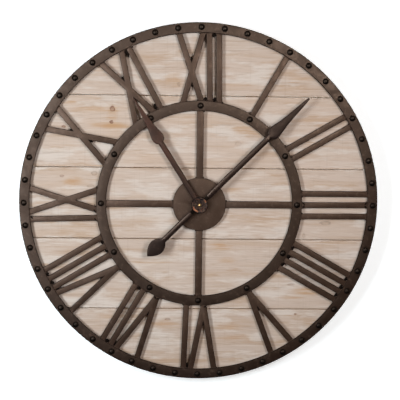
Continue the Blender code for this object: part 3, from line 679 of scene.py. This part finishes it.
def weld(bm, start, end):
    """A low run of overlapping puddles from corner to corner; now and then an end is heavier
    and darker, partly a weld and partly painted shade at the corner."""
    length = (end - start).length
    count = max(3, round(length / (1.2 * MM)))
    for i in range(count + 1):
        at = start.lerp(end, i / count)
        heavy = i in (0, count) and DRAW.random() < 0.6
        wide = DRAW.uniform(1.6, 2.6) * MM if heavy else DRAW.uniform(0.75, 1.0) * MM
        high = DRAW.uniform(0.8, 1.2) * MM if heavy else DRAW.uniform(0.30, 0.42) * MM
        lump(bm, (at.x, at.y, FRAME_FRONT - WELD_SINK),
             (wide, wide * DRAW.uniform(0.75, 1.1), high), DRAW.uniform(0, 90),
             material=1 if heavy else 0)


def shade_narrow_gaps(bm, ends, hour, inwards):
    """Dark lumps of painted shade between neighbouring strokes where they all but meet at a ring.
    """
    def bearing(point):
        from_hour = math.atan2(point.x, point.y) - math.radians(30 * hour)
        return (from_hour + math.pi) % (2 * math.pi) - math.pi

    ordered = sorted((sorted(pair, key=bearing) for pair in ends),
                     key=lambda pair: bearing(pair[0]))
    for (_, here), (there, _) in zip(ordered, ordered[1:]):
        width = (there - here).length
        if width > WIDE_GAP:
            continue
        middle = here.lerp(there, 0.5)
        along = middle.normalized() * (-1 if inwards else 1)
        reach = DRAW.uniform(6.5, 9.0) * MM if width < 5 * MM else DRAW.uniform(2.5, 4.0) * MM
        at = middle + along * reach * 0.8
        lump(bm, (at.x, at.y, FRAME_FRONT - SHADE_LUMP_SINK),
             (width * 0.5 + 0.8 * MM, reach, 1.1 * MM), DRAW.uniform(0, 90), material=2,
             aim=along)


def shade_notches(bm, corners):
    """A dark lump of painted shade in each narrow notch, where the two bars of a V or an X meet."""
    for corner, opening in corners:
        if opening and opening.length > NARROW_NOTCH:
            reach = DRAW.uniform(4.5, 6.0) * MM
            along = opening.normalized()
            at = corner + along * reach * 0.75
            lump(bm, (at.x, at.y, FRAME_FRONT - SHADE_LUMP_SINK), (2.1 * MM, reach, 1.2 * MM),
                 DRAW.uniform(0, 90), material=2, aim=along)


def build_strokes():
    """Each numeral's strokes as flat straps, the welds at their ends, and lumps of painted shade in
    the narrow gaps between strokes and in the notches at their crossings.
    """
    outer_edge = RING_R - STRAP_W
    for hour in HOURS:
        beads = bmesh.new()
        ends = {INNER_OUT: [], outer_edge: []}
        for node in (n for n in STROKES if n.startswith(f"numeral_{hour}_")):
            # The rounded edges take the painted-shade edge material.
            refine(node, node.replace("numeral_", "stroke_"), STROKE_EDGE,
                   (FRAME_METAL, EDGE_SHADE_METAL))
            corners = front_corners(node)
            for radius in (INNER_OUT, outer_edge):
                joined = joints_near(corners, radius)
                ends[radius] += joined
                for start, end in joined:
                    weld(beads, start, end)
            shade_notches(beads, corners)
        for radius in (INNER_OUT, outer_edge):
            if hour != CLEAN_HOUR:
                shade_narrow_gaps(beads, ends[radius], hour, radius == outer_edge)
        # Each of these pieces holds the welds and the dark lumps of painted shade.
        add_piece(f"welds_and_shade_{hour}", beads, (FRAME_METAL, WELD_AND_SHADE_METAL, SHADE_BLACK), sharp=80)


def build_hub_and_spokes():
    """The hub plate, and the four spokes welded to it and to the inner ring."""
    # The rounded edges take the painted-shade edge material.
    refine("hub_plate", "hub_disc", HUB_EDGE, (FRAME_METAL, EDGE_SHADE_METAL), 3)
    beads = bmesh.new()
    for node in SPOKES:
        refine(node, node.replace("spoke_", "cross_bar_"), SPOKE_EDGE,
               (FRAME_METAL, EDGE_SHADE_METAL))
        corners = front_corners(node)
        for radius in (HUB_R, INNER_IN):
            for start, end in joints_near(corners, radius):
                weld(beads, start, end)
    add_piece("welds_and_shade_cross", beads, (FRAME_METAL, WELD_AND_SHADE_METAL), sharp=80)


# ---------------------------------------------------------------- boards
def patch(x, y, half_x, half_y, strength):
    """A tan patch: centre and half sizes in millimetres from the axis, and its strength."""
    return (x * MM, y * MM), (half_x * MM, half_y * MM), strength


def knot(x, y, half_x, half_y, strength, heart=RED_KNOT):
    """A knot, given like a patch, with its heart's colour."""
    return *patch(x, y, half_x, half_y, strength), heart


# For each board from the top: tone, patches, knots.
BOARD_LOOKS = {
    1: ((1.0, 1.0, 1.0),
        [patch(-165, 295, 22, 8, 0.6), patch(-190, 260, 28, 9, 0.6), patch(-50, 244, 28, 15, 0.5),
         patch(205, 246, 46, 18, 0.40), patch(75, 232, 70, 7, 0.25)],
        [knot(-42, 232, 3, 5, 0.5, GREY_KNOT)]),
    2: ((1.02, 1.01, 1.00),
        [patch(-250, 196, 20, 7, 0.5), patch(-200, 180, 60, 10, 0.45),
         patch(-172, 150, 48, 12, 0.8), patch(-170, 172, 14, 24, 0.5),
         patch(90, 146, 44, 14, 0.4), patch(-100, 92, 60, 9, 0.35), patch(240, 104, 50, 6, 0.2)],
        [knot(-170, 183, 5.5, 6.5, 0.75), knot(-172, 158, 4.5, 3.5, 0.9),
         knot(-264, 148, 4.5, 2.5, 0.8), knot(75, 118, 8, 5, 0.2, GREY_KNOT)]),
    3: ((1.0, 1.0, 1.0),
        [patch(-246, 42, 36, 14, 0.8), patch(-288, -38, 34, 8, 0.5), patch(62, 27, 34, 10, 0.45),
         patch(110, 56, 70, 8, 0.3), patch(-100, -30, 70, 8, 0.25), patch(140, -40, 60, 7, 0.3)],
        [knot(-205, 58, 7, 5, 0.55, GREY_KNOT), knot(-212, 33, 9, 2.5, 0.5, GREY_KNOT),
         knot(250, -36, 13, 4.5, 0.6, GREY_KNOT), knot(-268, 52, 5, 2.5, 0.4),
         knot(208, -62, 3, 5, 0.4, GREY_KNOT)]),
    4: ((0.98, 0.98, 0.98),
        [patch(42, -84, 32, 10, 0.75), patch(56, -112, 28, 10, 0.55),
         patch(217, -174, 50, 12, 0.75), patch(190, -186, 40, 7, 0.5),
         patch(-228, -158, 46, 14, 0.45), patch(-90, -118, 70, 9, 0.4),
         patch(-60, -190, 70, 6, 0.25)],
        [knot(185, -160, 9, 2, 0.3)]),
    5: ((0.97, 0.97, 0.97),
        [patch(62, -246, 46, 10, 0.5), patch(75, -268, 50, 7, 0.5), patch(-76, -240, 44, 10, 0.5),
         patch(-170, -226, 50, 7, 0.35), patch(-20, -290, 60, 9, 0.3)],
        [knot(195, -220, 2.5, 2.5, 0.6), knot(-60, -232, 7, 2, 0.4)]),
}


def board_rows(low, high):
    """Heights of the grid's rows: close together at the eased edges, then 5 mm apart."""
    edge = [0.0, 0.25 * MM, 0.7 * MM, EASED_EDGE]
    inner_low, inner_high = low + 2.2 * MM, high - 2.2 * MM
    count = round((inner_high - inner_low) / (5 * MM))
    middle = [inner_low + (inner_high - inner_low) * i / count for i in range(count + 1)]
    return [low + e for e in edge] + middle + [high - e for e in reversed(edge)]


def build_board(number):
    """A sawn plank with eased long edges, a faint cup and its own small undulations."""
    node = f"board_{number}"
    box_low, box_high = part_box(node)
    low, high = box_low.z - AXIS.z, box_high.z - AXIS.z
    limit = BOARD_R - 0.4 * MM
    low, high = max(low, -limit), min(high, limit)
    columns = 116
    bm = bmesh.new()
    grid = []
    for y in board_rows(low, high):
        half = math.sqrt(max(BOARD_R ** 2 - y ** 2, (4 * MM) ** 2))
        from_edge = min(y - low, high - y)
        drop = 0.0
        if from_edge < EASED_EDGE:
            drop = EASED_EDGE - math.sqrt(EASED_EDGE ** 2 - (EASED_EDGE - from_edge) ** 2)
        cup = 0.25 * MM * ((y - (low + high) / 2) / (high - low) * 2) ** 2
        row = []
        for k in range(columns + 1):
            x = half * (2 * k / columns - 1)
            wave = noise.noise(Vector((x * 5, y * 45, number * 7.3))) * 0.16 * MM
            wave += noise.noise(Vector((x * 22, y * 160, number * 3.1))) * 0.07 * MM
            row.append(bm.verts.new((x, y, BOARD_FRONT - 0.25 * MM - drop - cup + wave)))
        grid.append(row)
    for first, second in zip(grid, grid[1:]):
        for k in range(columns):
            bm.faces.new((first[k], first[k + 1], second[k + 1], second[k]))
    rim = grid[0] + [row[-1] for row in grid[1:-1]]
    rim += grid[-1][::-1] + [row[0] for row in reversed(grid[1:-1])]
    rear = [bm.verts.new((v.co.x, v.co.y, BOARD_BACK)) for v in rim]
    for k in range(len(rim)):
        n = (k + 1) % len(rim)
        bm.faces.new((rim[n], rim[k], rear[k], rear[n])).material_index = 1
    bm.faces.new(rear).material_index = 1
    bmesh.ops.recalc_face_normals(bm, faces=bm.faces)
    tone, patches, knots = BOARD_LOOKS[number]
    washed = whitewashed_wood(number, tone, patches, knots)
    plank = add_piece(f"plank_{number}", bm, (washed, BOARD_REAR),
                      stands_for=(node,), sharp=50)
    if low < 0 < high:
        drill_hole(plank, SHAFT_HOLE_R)


def cut_away(obj, cutters):
    """The object's mesh with the cutters' shapes taken out; the cutters are removed."""
    for cutter in cutters:
        cut = obj.modifiers.new(cutter.name, 'BOOLEAN')
        cut.operation = 'DIFFERENCE'
        cut.solver = 'EXACT'
        cut.object = cutter
    bpy.context.view_layer.update()
    done = bpy.data.meshes.new_from_object(
        obj.evaluated_get(bpy.context.evaluated_depsgraph_get()))
    obj.modifiers.clear()
    for cutter in cutters:
        bpy.data.objects.remove(cutter)
    return done


def drill_hole(obj, radius):
    """A clean hole through a piece on the hands' axis."""
    bm = bmesh.new()
    bmesh.ops.create_cone(bm, cap_ends=True, segments=32, radius1=radius, radius2=radius,
                          depth=0.2)
    bm.transform(stood_up())
    obj.data = cut_away(obj, [new_object("drill", new_mesh("drill", bm))])


def screw_mesh(name, radius):
    """A countersunk head, front face at zero, with a cross recess."""
    bm = bmesh.new()
    lathe(bm, [(0, 0), (radius * 0.96, 0), (radius, -0.15 * MM), (radius * 0.55, -radius * 0.5),
               (0, -radius * 0.5)], 24)
    mesh = new_mesh(name, bm)
    mesh.materials.append(DARK_SCREW)
    head = new_object(name, mesh)
    cutters = []
    for turn in (0.0, QUARTER):
        bm = bmesh.new()
        bmesh.ops.create_cube(bm, size=1.0)
        bmesh.ops.scale(bm, verts=bm.verts, vec=(radius * 1.15, radius * 0.26, radius * 0.7))
        for vert in bm.verts:
            if vert.co.z < 0:
                vert.co.x *= 0.45
        bm.transform(Matrix.Rotation(turn, 4, 'Z'))
        cutters.append(new_object("recess", new_mesh("recess", bm)))
    done = cut_away(head, cutters)
    done.shade_smooth()
    done.set_sharp_from_angle(angle=math.radians(35))
    bpy.data.objects.remove(head)
    return done


def place_screw(name, mesh, at):
    """Puts a shared screw head at a point of the row frame, its face towards the wall."""
    head = new_object(name, mesh)
    faced = Vector((0, 1, 0)).to_track_quat('Z', 'Y').to_matrix().to_4x4()
    spin = Matrix.Rotation(DRAW.uniform(0, 1.5), 4, 'Z')
    head.matrix_world = Matrix.Translation(at) @ faced @ spin
    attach(head, "clock")


def build_boards():
    """The five planks, and the battens with two screws for each plank."""
    for number in BOARDS:
        build_board(number)
    head = screw_mesh("batten_screw", 3.4 * MM)
    for side in ("left", "right"):
        node = f"batten_{side}"
        refine(node, f"rail_{side}", 1.2 * MM, (PINE, PINE), 3)
        low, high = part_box(node)
        middle = (low.x + high.x) / 2
        for number in BOARDS:
            board_low, board_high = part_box(f"board_{number}")
            bottom, top = max(board_low.z, low.z), min(board_high.z, high.z)
            for letter, share, dx in (("a", 0.22, -8 * MM), ("b", 0.78, 8 * MM)):
                at = Vector((middle + dx, -0.1 * MM, bottom + (top - bottom) * share))
                place_screw(f"rail_screw_{side}_{number}_{letter}", head, at)


def build_hanger():
    """The keyhole hanger and the four screws through its feet."""
    refine("hanger", "hanger_strap", 0.35 * MM, (ZINC, ZINC), 2)
    low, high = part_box("hanger")
    pan = screw_mesh("hanger_screw", 3.2 * MM)
    foot_depth = BOARD_BACK - HANGER_T - 0.5 * MM
    for side, x in (("l", -HANGER_SCREW_X), ("r", HANGER_SCREW_X)):
        for letter, z in (("a", low.z + 8 * MM), ("b", high.z - 8 * MM)):
            place_screw(f"hanger_screw_{side}_{letter}", pan, Vector((x, -foot_depth, z)))


# ---------------------------------------------------------------- hands
def blade_stations(shoulder, tip, wide, tip_wide):
    """Sections of a spade: round shoulders past the rod, then a long hollow taper."""
    half, point = wide / 2, tip_wide / 2
    rod_half, blade_half = ROD_T / 2, BLADE_T / 2
    stations = []
    steps, taper_steps = 10, 14
    for i in range(steps + 1):
        f = i / steps
        a = QUARTER * f
        reach = half - (half - ROD_W / 2) * (1 - math.sin(a))
        stations.append((shoulder + SHOULDER_RISE * (1 - math.cos(a)), reach,
                         rod_half + (blade_half - rod_half) * f, 2.0 + 0.5 * f))
    widest = shoulder + SHOULDER_RISE
    for i in range(1, taper_steps + 1):
        f = i / taper_steps
        reach = half + (point - half) * f - 0.11 * wide * math.sin(math.pi * f) * (1 - f)
        stations.append((widest + (tip - MM - widest) * f, reach,
                         blade_half * (1 - 0.35 * f), 2.5))
    stations.append((tip - 0.4 * MM, point * 0.8, blade_half * 0.5, 2.3))
    stations.append((tip, point * 0.3, blade_half * 0.25, 2.0))
    return stations


def leaf_stations(root, tip, wide):
    """Sections of the counterweight leaf, from the rod to its point."""
    length = tip - root
    stations = []
    steps = 20
    for i in range(steps):
        f = i / steps
        swell = math.sin(math.pi * max(f, 0.002) ** 0.82) ** (0.5 + 0.36 * f)
        reach = max(wide / 2 * swell, ROD_W / 2 if f < 0.2 else 0)
        thick = ROD_T / 2 + (BLADE_T / 2 - ROD_T / 2) * min(1, f / 0.3)
        stations.append((root + length * f, reach, thick, 2.0 + 0.6 * min(1, f / 0.3)))
    stations.append((tip - 0.3 * MM, 0.9 * MM, BLADE_T * 0.3, 2.0))
    stations.append((tip, 0.3 * MM, BLADE_T * 0.12, 2.0))
    return stations


def mirrored(stations):
    """The same sections on the other side of the hands' axis."""
    return [(-y, w, t, s) for y, w, t, s in reversed(stations)]


def build_hour_hand():
    """A plain boss and a spade on an oval rod, in one piece."""
    bm = bmesh.new()
    half, bore = 2.8 * MM, 2.6 * MM
    ring = [(bore, HOUR_LEVEL + half), (HOUR_BOSS_R, HOUR_LEVEL + half),
            (HOUR_BOSS_R, HOUR_LEVEL - half), (bore, HOUR_LEVEL - half)]
    lathe(bm, eased(ring, 0.8 * MM), 48)
    rod = [(HOUR_BOSS_R - 1.2 * MM, ROD_W / 2, ROD_T / 2, 2.0)]
    rod += [(HOUR_BOSS_R + (HOUR_BLADE_AT - HOUR_BOSS_R) * i / ROD_STEPS, ROD_W / 2, ROD_T / 2,
             2.0) for i in range(1, ROD_STEPS)]
    blade = blade_stations(HOUR_BLADE_AT, HOUR_LENGTH, HOUR_BLADE_W, HOUR_TIP_W)
    loft(bm, rod + blade, HOUR_LEVEL)
    add_piece("hour_spade", bm, (HOUR_METAL,), "hour", ("hour_hand",), HOUR_ANGLE,
              sharp=50)


def build_minute_boss():
    """The dished boss, uneven from the torch, its rim and side painted near black as shade."""
    level = MINUTE_LEVEL
    bm = bmesh.new()
    rim, dish, under = level + 3.0 * MM, level + 2.4 * MM, level - 2.7 * MM
    bore = 1.7 * MM
    section = [(bore, dish), (MINUTE_BOSS_R - 6.0 * MM, dish), (MINUTE_BOSS_R - 3.0 * MM, rim),
               (MINUTE_BOSS_R - 0.9 * MM, rim), (MINUTE_BOSS_R, rim - 0.9 * MM),
               (MINUTE_BOSS_R, under), (bore, under)]
    lathe(bm, eased(section, 0.7 * MM, 3), 64)
    for vert in bm.verts:
        if vert.co.z > level + 2.0 * MM:
            vert.co.z += 0.35 * MM * noise.noise(Vector((vert.co.x, vert.co.y, 0.7)) * 260)
    # The rim and side take the near-black material: painted shade round the boss.
    for face in bm.faces:
        if face.calc_center_median().xy.length > MINUTE_BOSS_R - 1.0 * MM:
            face.material_index = 1
    add_piece("minute_boss", bm, (BOSS_METAL, SHADE_BLACK), "minute", ("minute_hand",),
              MINUTE_ANGLE, sharp=50)


def build_minute_spade():
    """Two tangs out of the boss and the rods over them, with the blade and the leaf."""
    level = MINUTE_LEVEL
    bm = bmesh.new()
    full_at = MINUTE_ROD_AT + 1.4 * MM
    for blade_side, end in ((True, MINUTE_BLADE_AT), (False, LEAF_AT)):
        tang = [(MINUTE_BOSS_R - 3 * MM, TANG_HALF_W, 1.2 * MM, 5.0),
                (TANG_END, TANG_HALF_W, 1.2 * MM, 5.0)]
        rod = [(MINUTE_ROD_AT, ROD_W * 0.40, ROD_T * 0.38, 2.0),
               (MINUTE_ROD_AT + 0.5 * MM, ROD_W * 0.47, ROD_T * 0.46, 2.0)]
        rod += [(full_at + (end - full_at) * i / ROD_STEPS, ROD_W / 2, ROD_T / 2, 2.0)
                for i in range(ROD_STEPS)]
        if blade_side:
            rod += blade_stations(end, MINUTE_LENGTH, MINUTE_BLADE_W, MINUTE_TIP_W)
        else:
            rod += leaf_stations(end, LEAF_END, LEAF_W)
            rod, tang = mirrored(rod), mirrored(tang)
        loft(bm, rod, level)
        # The tangs take the near-black material: painted shade between the boss and the rods.
        loft(bm, tang, level - 0.8 * MM, material=1)
    for face in bm.faces:
        if not -LEAF_AT < face.calc_center_median().y < MINUTE_BLADE_AT - 6 * MM:
            face.material_index = 2
    add_piece("minute_spade", bm, (HAND_METAL, SHADE_BLACK, BLADE_METAL), "minute",
              ("minute_hand",), MINUTE_ANGLE, sharp=50)


def build_minute_braze():
    """Beads of copper-coloured braze on the boss, most of them on the leaf's side."""
    bm = bmesh.new()
    for along, across, size in ((-11.2, 5.4, 1.7), (-12.2, 3.2, 2.2), (-12.8, 0.9, 2.4),
                                (-12.8, -1.6, 2.3), (-12.0, -3.8, 2.0), (-10.8, -5.6, 1.4),
                                (13.0, 3.6, 1.4), (13.6, 1.4, 1.6), (13.8, -0.9, 1.2)):
        lump(bm, (across * MM, along * MM, MINUTE_LEVEL + 2.4 * MM),
             (size * MM, size * 0.8 * MM, 0.9 * MM), DRAW.uniform(0, 90), 0.4, 3)
    add_piece("minute_braze", bm, (BRAZE,), "minute", turn=MINUTE_ANGLE, sharp=80)


def build_shaft_nut():
    """The finely fluted brass nut that clamps the minute hand, over the shaft's own end."""
    tip = depth_range("minute_arbor")[1]
    base = MINUTE_LEVEL + 1.5 * MM
    section = [(0, base), (3.4 * MM, base), (3.4 * MM, base + 1.4 * MM),
               (2.6 * MM, base + 2.0 * MM), (2.4 * MM, tip - 0.5 * MM), (1.6 * MM, tip),
               (0, tip + 0.15 * MM)]
    bm = lathe(bmesh.new(), section, 48, 24, 0.02)
    add_piece("shaft_nut", bm, (BRASS,), "minute")


# ---------------------------------------------------------------- movement
def dress(node, material):
    """A new material on a CAD node that keeps its shape."""
    data = frame["nodes"][node].data
    data.materials.clear()
    data.materials.append(material)


def lay_along_x(bm, centre):
    """Turns a drawing made along its own depth so that it runs along the row frame's X."""
    bm.transform(Matrix.Translation(centre) @ Matrix.Rotation(QUARTER, 4, 'Y'))


def build_battery():
    """The cell's dark sleeve with its plain coloured band, and the bare metal of both ends."""
    low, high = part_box("battery")
    radius = (high.z - low.z) / 2
    centre = Vector((0, (low.y + high.y) / 2, (low.z + high.z) / 2))
    start, end = low.x, high.x
    body_end = end - 1.4 * MM
    jacket = bmesh.new()
    lathe(jacket, eased([(radius - 0.7 * MM, start), (radius, start), (radius, body_end),
                         (radius - 0.7 * MM, body_end)], 0.45 * MM), 56)
    for face in jacket.faces:
        if face.calc_center_median().z > body_end - 12 * MM:
            face.material_index = 1
    lay_along_x(jacket, centre)
    add_piece("battery_sleeve", jacket, (JACKET, JACKET_BAND),
              stands_for=("battery",), upright=False)
    ends = bmesh.new()
    lathe(ends, [(0, start + 0.25 * MM), (radius - 1.2 * MM, start + 0.25 * MM),
                 (radius - 0.8 * MM, start + 0.6 * MM), (0, start + 0.6 * MM)], 40)
    lathe(ends, [(0, end), (2.3 * MM, end), (2.6 * MM, end - 0.3 * MM), (2.6 * MM, body_end),
                 (radius - 0.8 * MM, body_end - 0.2 * MM), (radius - 0.8 * MM, body_end - MM),
                 (0, body_end - MM)], 40)
    lay_along_x(ends, centre)
    add_piece("battery_ends", ends, (NICKEL,), upright=False)


def build_contact_plate():
    """The nickel plate at the cell's positive end."""
    low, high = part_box("battery")
    y, z = (low.y + high.y) / 2, (low.z + high.z) / 2
    bm = bmesh.new()
    bmesh.ops.create_cube(bm, size=1.0)
    bmesh.ops.scale(bm, verts=bm.verts, vec=(0.3 * MM, 8 * MM, 9 * MM))
    bmesh.ops.translate(bm, verts=bm.verts, vec=(high.x + 0.5 * MM, y, z))
    bmesh.ops.bevel(bm, geom=list(bm.edges), offset=0.1 * MM, segments=2, profile=0.5,
                    affect='EDGES')
    add_piece("contact_plate", bm, (NICKEL,), upright=False)


def build_contact_spring():
    """The nickel wire coiled to a cone that presses on the cell's flat end."""
    low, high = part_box("battery")
    y, z = (low.y + high.y) / 2, (low.z + high.z) / 2
    curve = bpy.data.curves.new("contact_spring", 'CURVE')
    curve.dimensions = '3D'
    curve.bevel_depth = 0.25 * MM
    curve.bevel_resolution = 3
    curve.use_fill_caps = True
    turns, per_turn = 3, 16
    spline = curve.splines.new('POLY')
    spline.points.add(turns * per_turn)
    wall_x = low.x - 0.95 * MM
    for i, point in enumerate(spline.points):
        a = 2 * math.pi * i / per_turn
        f = i / (turns * per_turn)
        r = (4.2 - 2.0 * f) * MM
        point.co = (wall_x + f * 0.75 * MM, y + r * math.cos(a), z + r * math.sin(a), 1)
    curve.materials.append(NICKEL)
    spring = new_object("contact_spring", curve)
    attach(spring, "clock")


def build_knob():
    """A knurled rim over the edge of the setting knob's disc, open where the CAD disc shows."""
    low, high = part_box("setting_knob")
    centre = Vector(((low.x + high.x) / 2, 0, (low.z + high.z) / 2))
    radius = (high.x - low.x) / 2
    back, front = 0.65 * MM, 3.85 * MM
    outer, inner = radius + 0.25 * MM, radius - 1.3 * MM
    section = [(inner, front), (outer, front), (outer, back), (inner, back)]
    grip = lathe(bmesh.new(), eased(section, 0.35 * MM), 240, 30, 0.02)
    grip.transform(Matrix.Translation(centre) @ Matrix.Rotation(QUARTER, 4, 'X'))
    add_piece("knob_grip", grip, (WHITE_PLASTIC,), "knob", upright=False)


def build_movement():
    """The movement: its case and nut rounded off, its wheels as in the CAD, the rest anew."""
    refine("case_front", "movement_front", 0.35 * MM, (BLACK_PLASTIC, BLACK_PLASTIC))
    refine("case_back", "movement_tub", 0.4 * MM, (BLACK_PLASTIC, BLACK_PLASTIC))
    refine("hex_nut", "bush_nut", 0.3 * MM, (BRASS, BRASS))
    build_battery()
    build_contact_plate()
    build_contact_spring()
    build_knob()
    for node in ("intermediate_wheel", "second_wheel", "third_wheel", "centre_wheel",
                 "reverse_wheel", "setting_knob"):
        dress(node, WHITE_PLASTIC)
    for node, material in (("hour_wheel", BRASS), ("minute_arbor", BRASS), ("rotor", MAGNET),
                           ("motor_coil", COPPER), ("circuit_board", LAMINATE)):
        dress(node, material)


# ---------------------------------------------------------------- stage
def area_light(name, at, towards, size, power, colour=(1, 1, 1)):
    """A rectangular light, size (width, height) in metres and power in watts."""
    data = bpy.data.lights.new(name, 'AREA')
    data.shape = 'RECTANGLE'
    data.size, data.size_y = size
    data.energy = power
    data.color = colour
    light = new_object(name, data)
    light.location = at
    light.rotation_euler = (Vector(towards) - Vector(at)).to_track_quat('-Z', 'Y').to_euler()
    return light


def build_world():
    """White for the camera; for the clock a faint warm light from all sides, least of all
    from below."""
    world = bpy.data.worlds.new("studio")
    bpy.context.scene.world = world
    world.use_nodes = True
    g = Nodes(world.node_tree)
    seen = g.nodes["Background"]
    g.feed(seen.inputs["Color"], (1, 1, 1))
    g.feed(seen.inputs["Strength"], 1.0)
    height = g.add("SeparateXYZ", {0: g.coordinates["Generated"]}).outputs["Z"]
    strength = g.spread(height, -0.34, -0.16, 0.03, 0.20, smooth=False)
    ambient = g.add("Background", {"Color": (1.0, 0.76, 0.56), "Strength": strength})
    camera_ray = g.add("LightPath", {}).outputs["Is Camera Ray"]
    g.choose(camera_ray, ambient, seen, g.nodes["World Output"])


def build_wall():
    """A white wall that only the camera sees, and only from the front, so it takes the clock's
    soft shadow without darkening the clock's back."""
    bm = bmesh.new()
    bmesh.ops.create_grid(bm, x_segments=2, y_segments=2, size=WALL_HALF)
    bm.transform(Matrix.Rotation(QUARTER, 4, 'X'))
    mesh = new_mesh("wall", bm)
    wall = new_object("wall", mesh)
    wall.location = (0, 1.5 * MM, AXIS.z)
    wall.visible_diffuse = False
    wall.visible_glossy = False
    wall.visible_transmission = False
    wall.visible_shadow = False
    g = Graph("wall_paint", 1.0, 0.0, 0.0)
    g.paint((0.85, 0.90, 0.94))
    g.feed(g.shader.inputs["Emission Color"], (1, 1, 1))
    glow = g.spread(g.length(g.place), RING_R - 20 * MM, RING_R, 0.0, 0.49, smooth=False)
    g.feed(g.shader.inputs["Emission Strength"], glow)
    behind = g.add("NewGeometry", {}).outputs["Backfacing"]
    g.choose(behind, g.shader, g.add("BsdfTransparent", {}), g.nodes["Material Output"])
    mesh.materials.append(g.material)


def build_stage():
    """Two lights for the surfaces, four that only show in the metal's gloss, one behind."""
    build_world()
    build_wall()
    middle = (0, -0.04, AXIS.z)
    for name, at, size, power, colour in (
            ("key", (-0.9, -1.2, AXIS.z + 0.08), (0.28, 0.7), 15.6, (0.89, 0.965, 0.985)),
            ("cross", (0.40, -1.15, AXIS.z + 0.27), (0.25, 0.4), 6.6, (1.0, 0.985, 0.975))):
        area_light(name, at, middle, size, power, colour).visible_glossy = False
    warm, plain = (1.0, 0.90, 0.80), (0.96, 0.96, 0.95)
    upper_middle = (0, -0.04, -0.1)
    for name, at, size, power, colour in (
            ("sheen", (-0.02, -1.25, 0.20), (1.25, 0.5), 2.6, warm),
            ("key_sheen", (-0.72, -1.25, AXIS.z + 0.09), (0.6, 0.8), 9.0, plain),
            ("cross_sheen", (0.42, -1.15, AXIS.z + 0.42), (0.25, 0.4), 3.6, warm),
            ("glint", (-0.70, -1.20, AXIS.z + 0.70), (0.3, 0.3), 2.5, plain)):
        area_light(name, at, upper_middle, size, power, colour).visible_diffuse = False
    area_light("rear", (0.9, 2.0, 0.7), middle, (1.6, 1.6), 34)


def build_camera():
    """The photograph's view: almost straight on, from a little above and to the left."""
    data = bpy.data.cameras.new("camera")
    data.sensor_width = 36
    data.lens = 78.14
    camera = new_object("camera", data)
    camera.location = (-0.0517, -1.7240, -0.0551)
    camera.rotation_euler = tuple(math.radians(a) for a in (83.68, -0.73, -1.72))
    bpy.context.scene.camera = camera
    bpy.context.scene.view_settings.view_transform = 'Standard'


build_rings()
build_rivets()
build_strokes()
build_hub_and_spokes()
build_boards()
build_hanger()
build_hour_hand()
build_minute_boss()
build_minute_spade()
build_minute_braze()
build_shaft_nut()
build_movement()
build_stage()
build_camera()
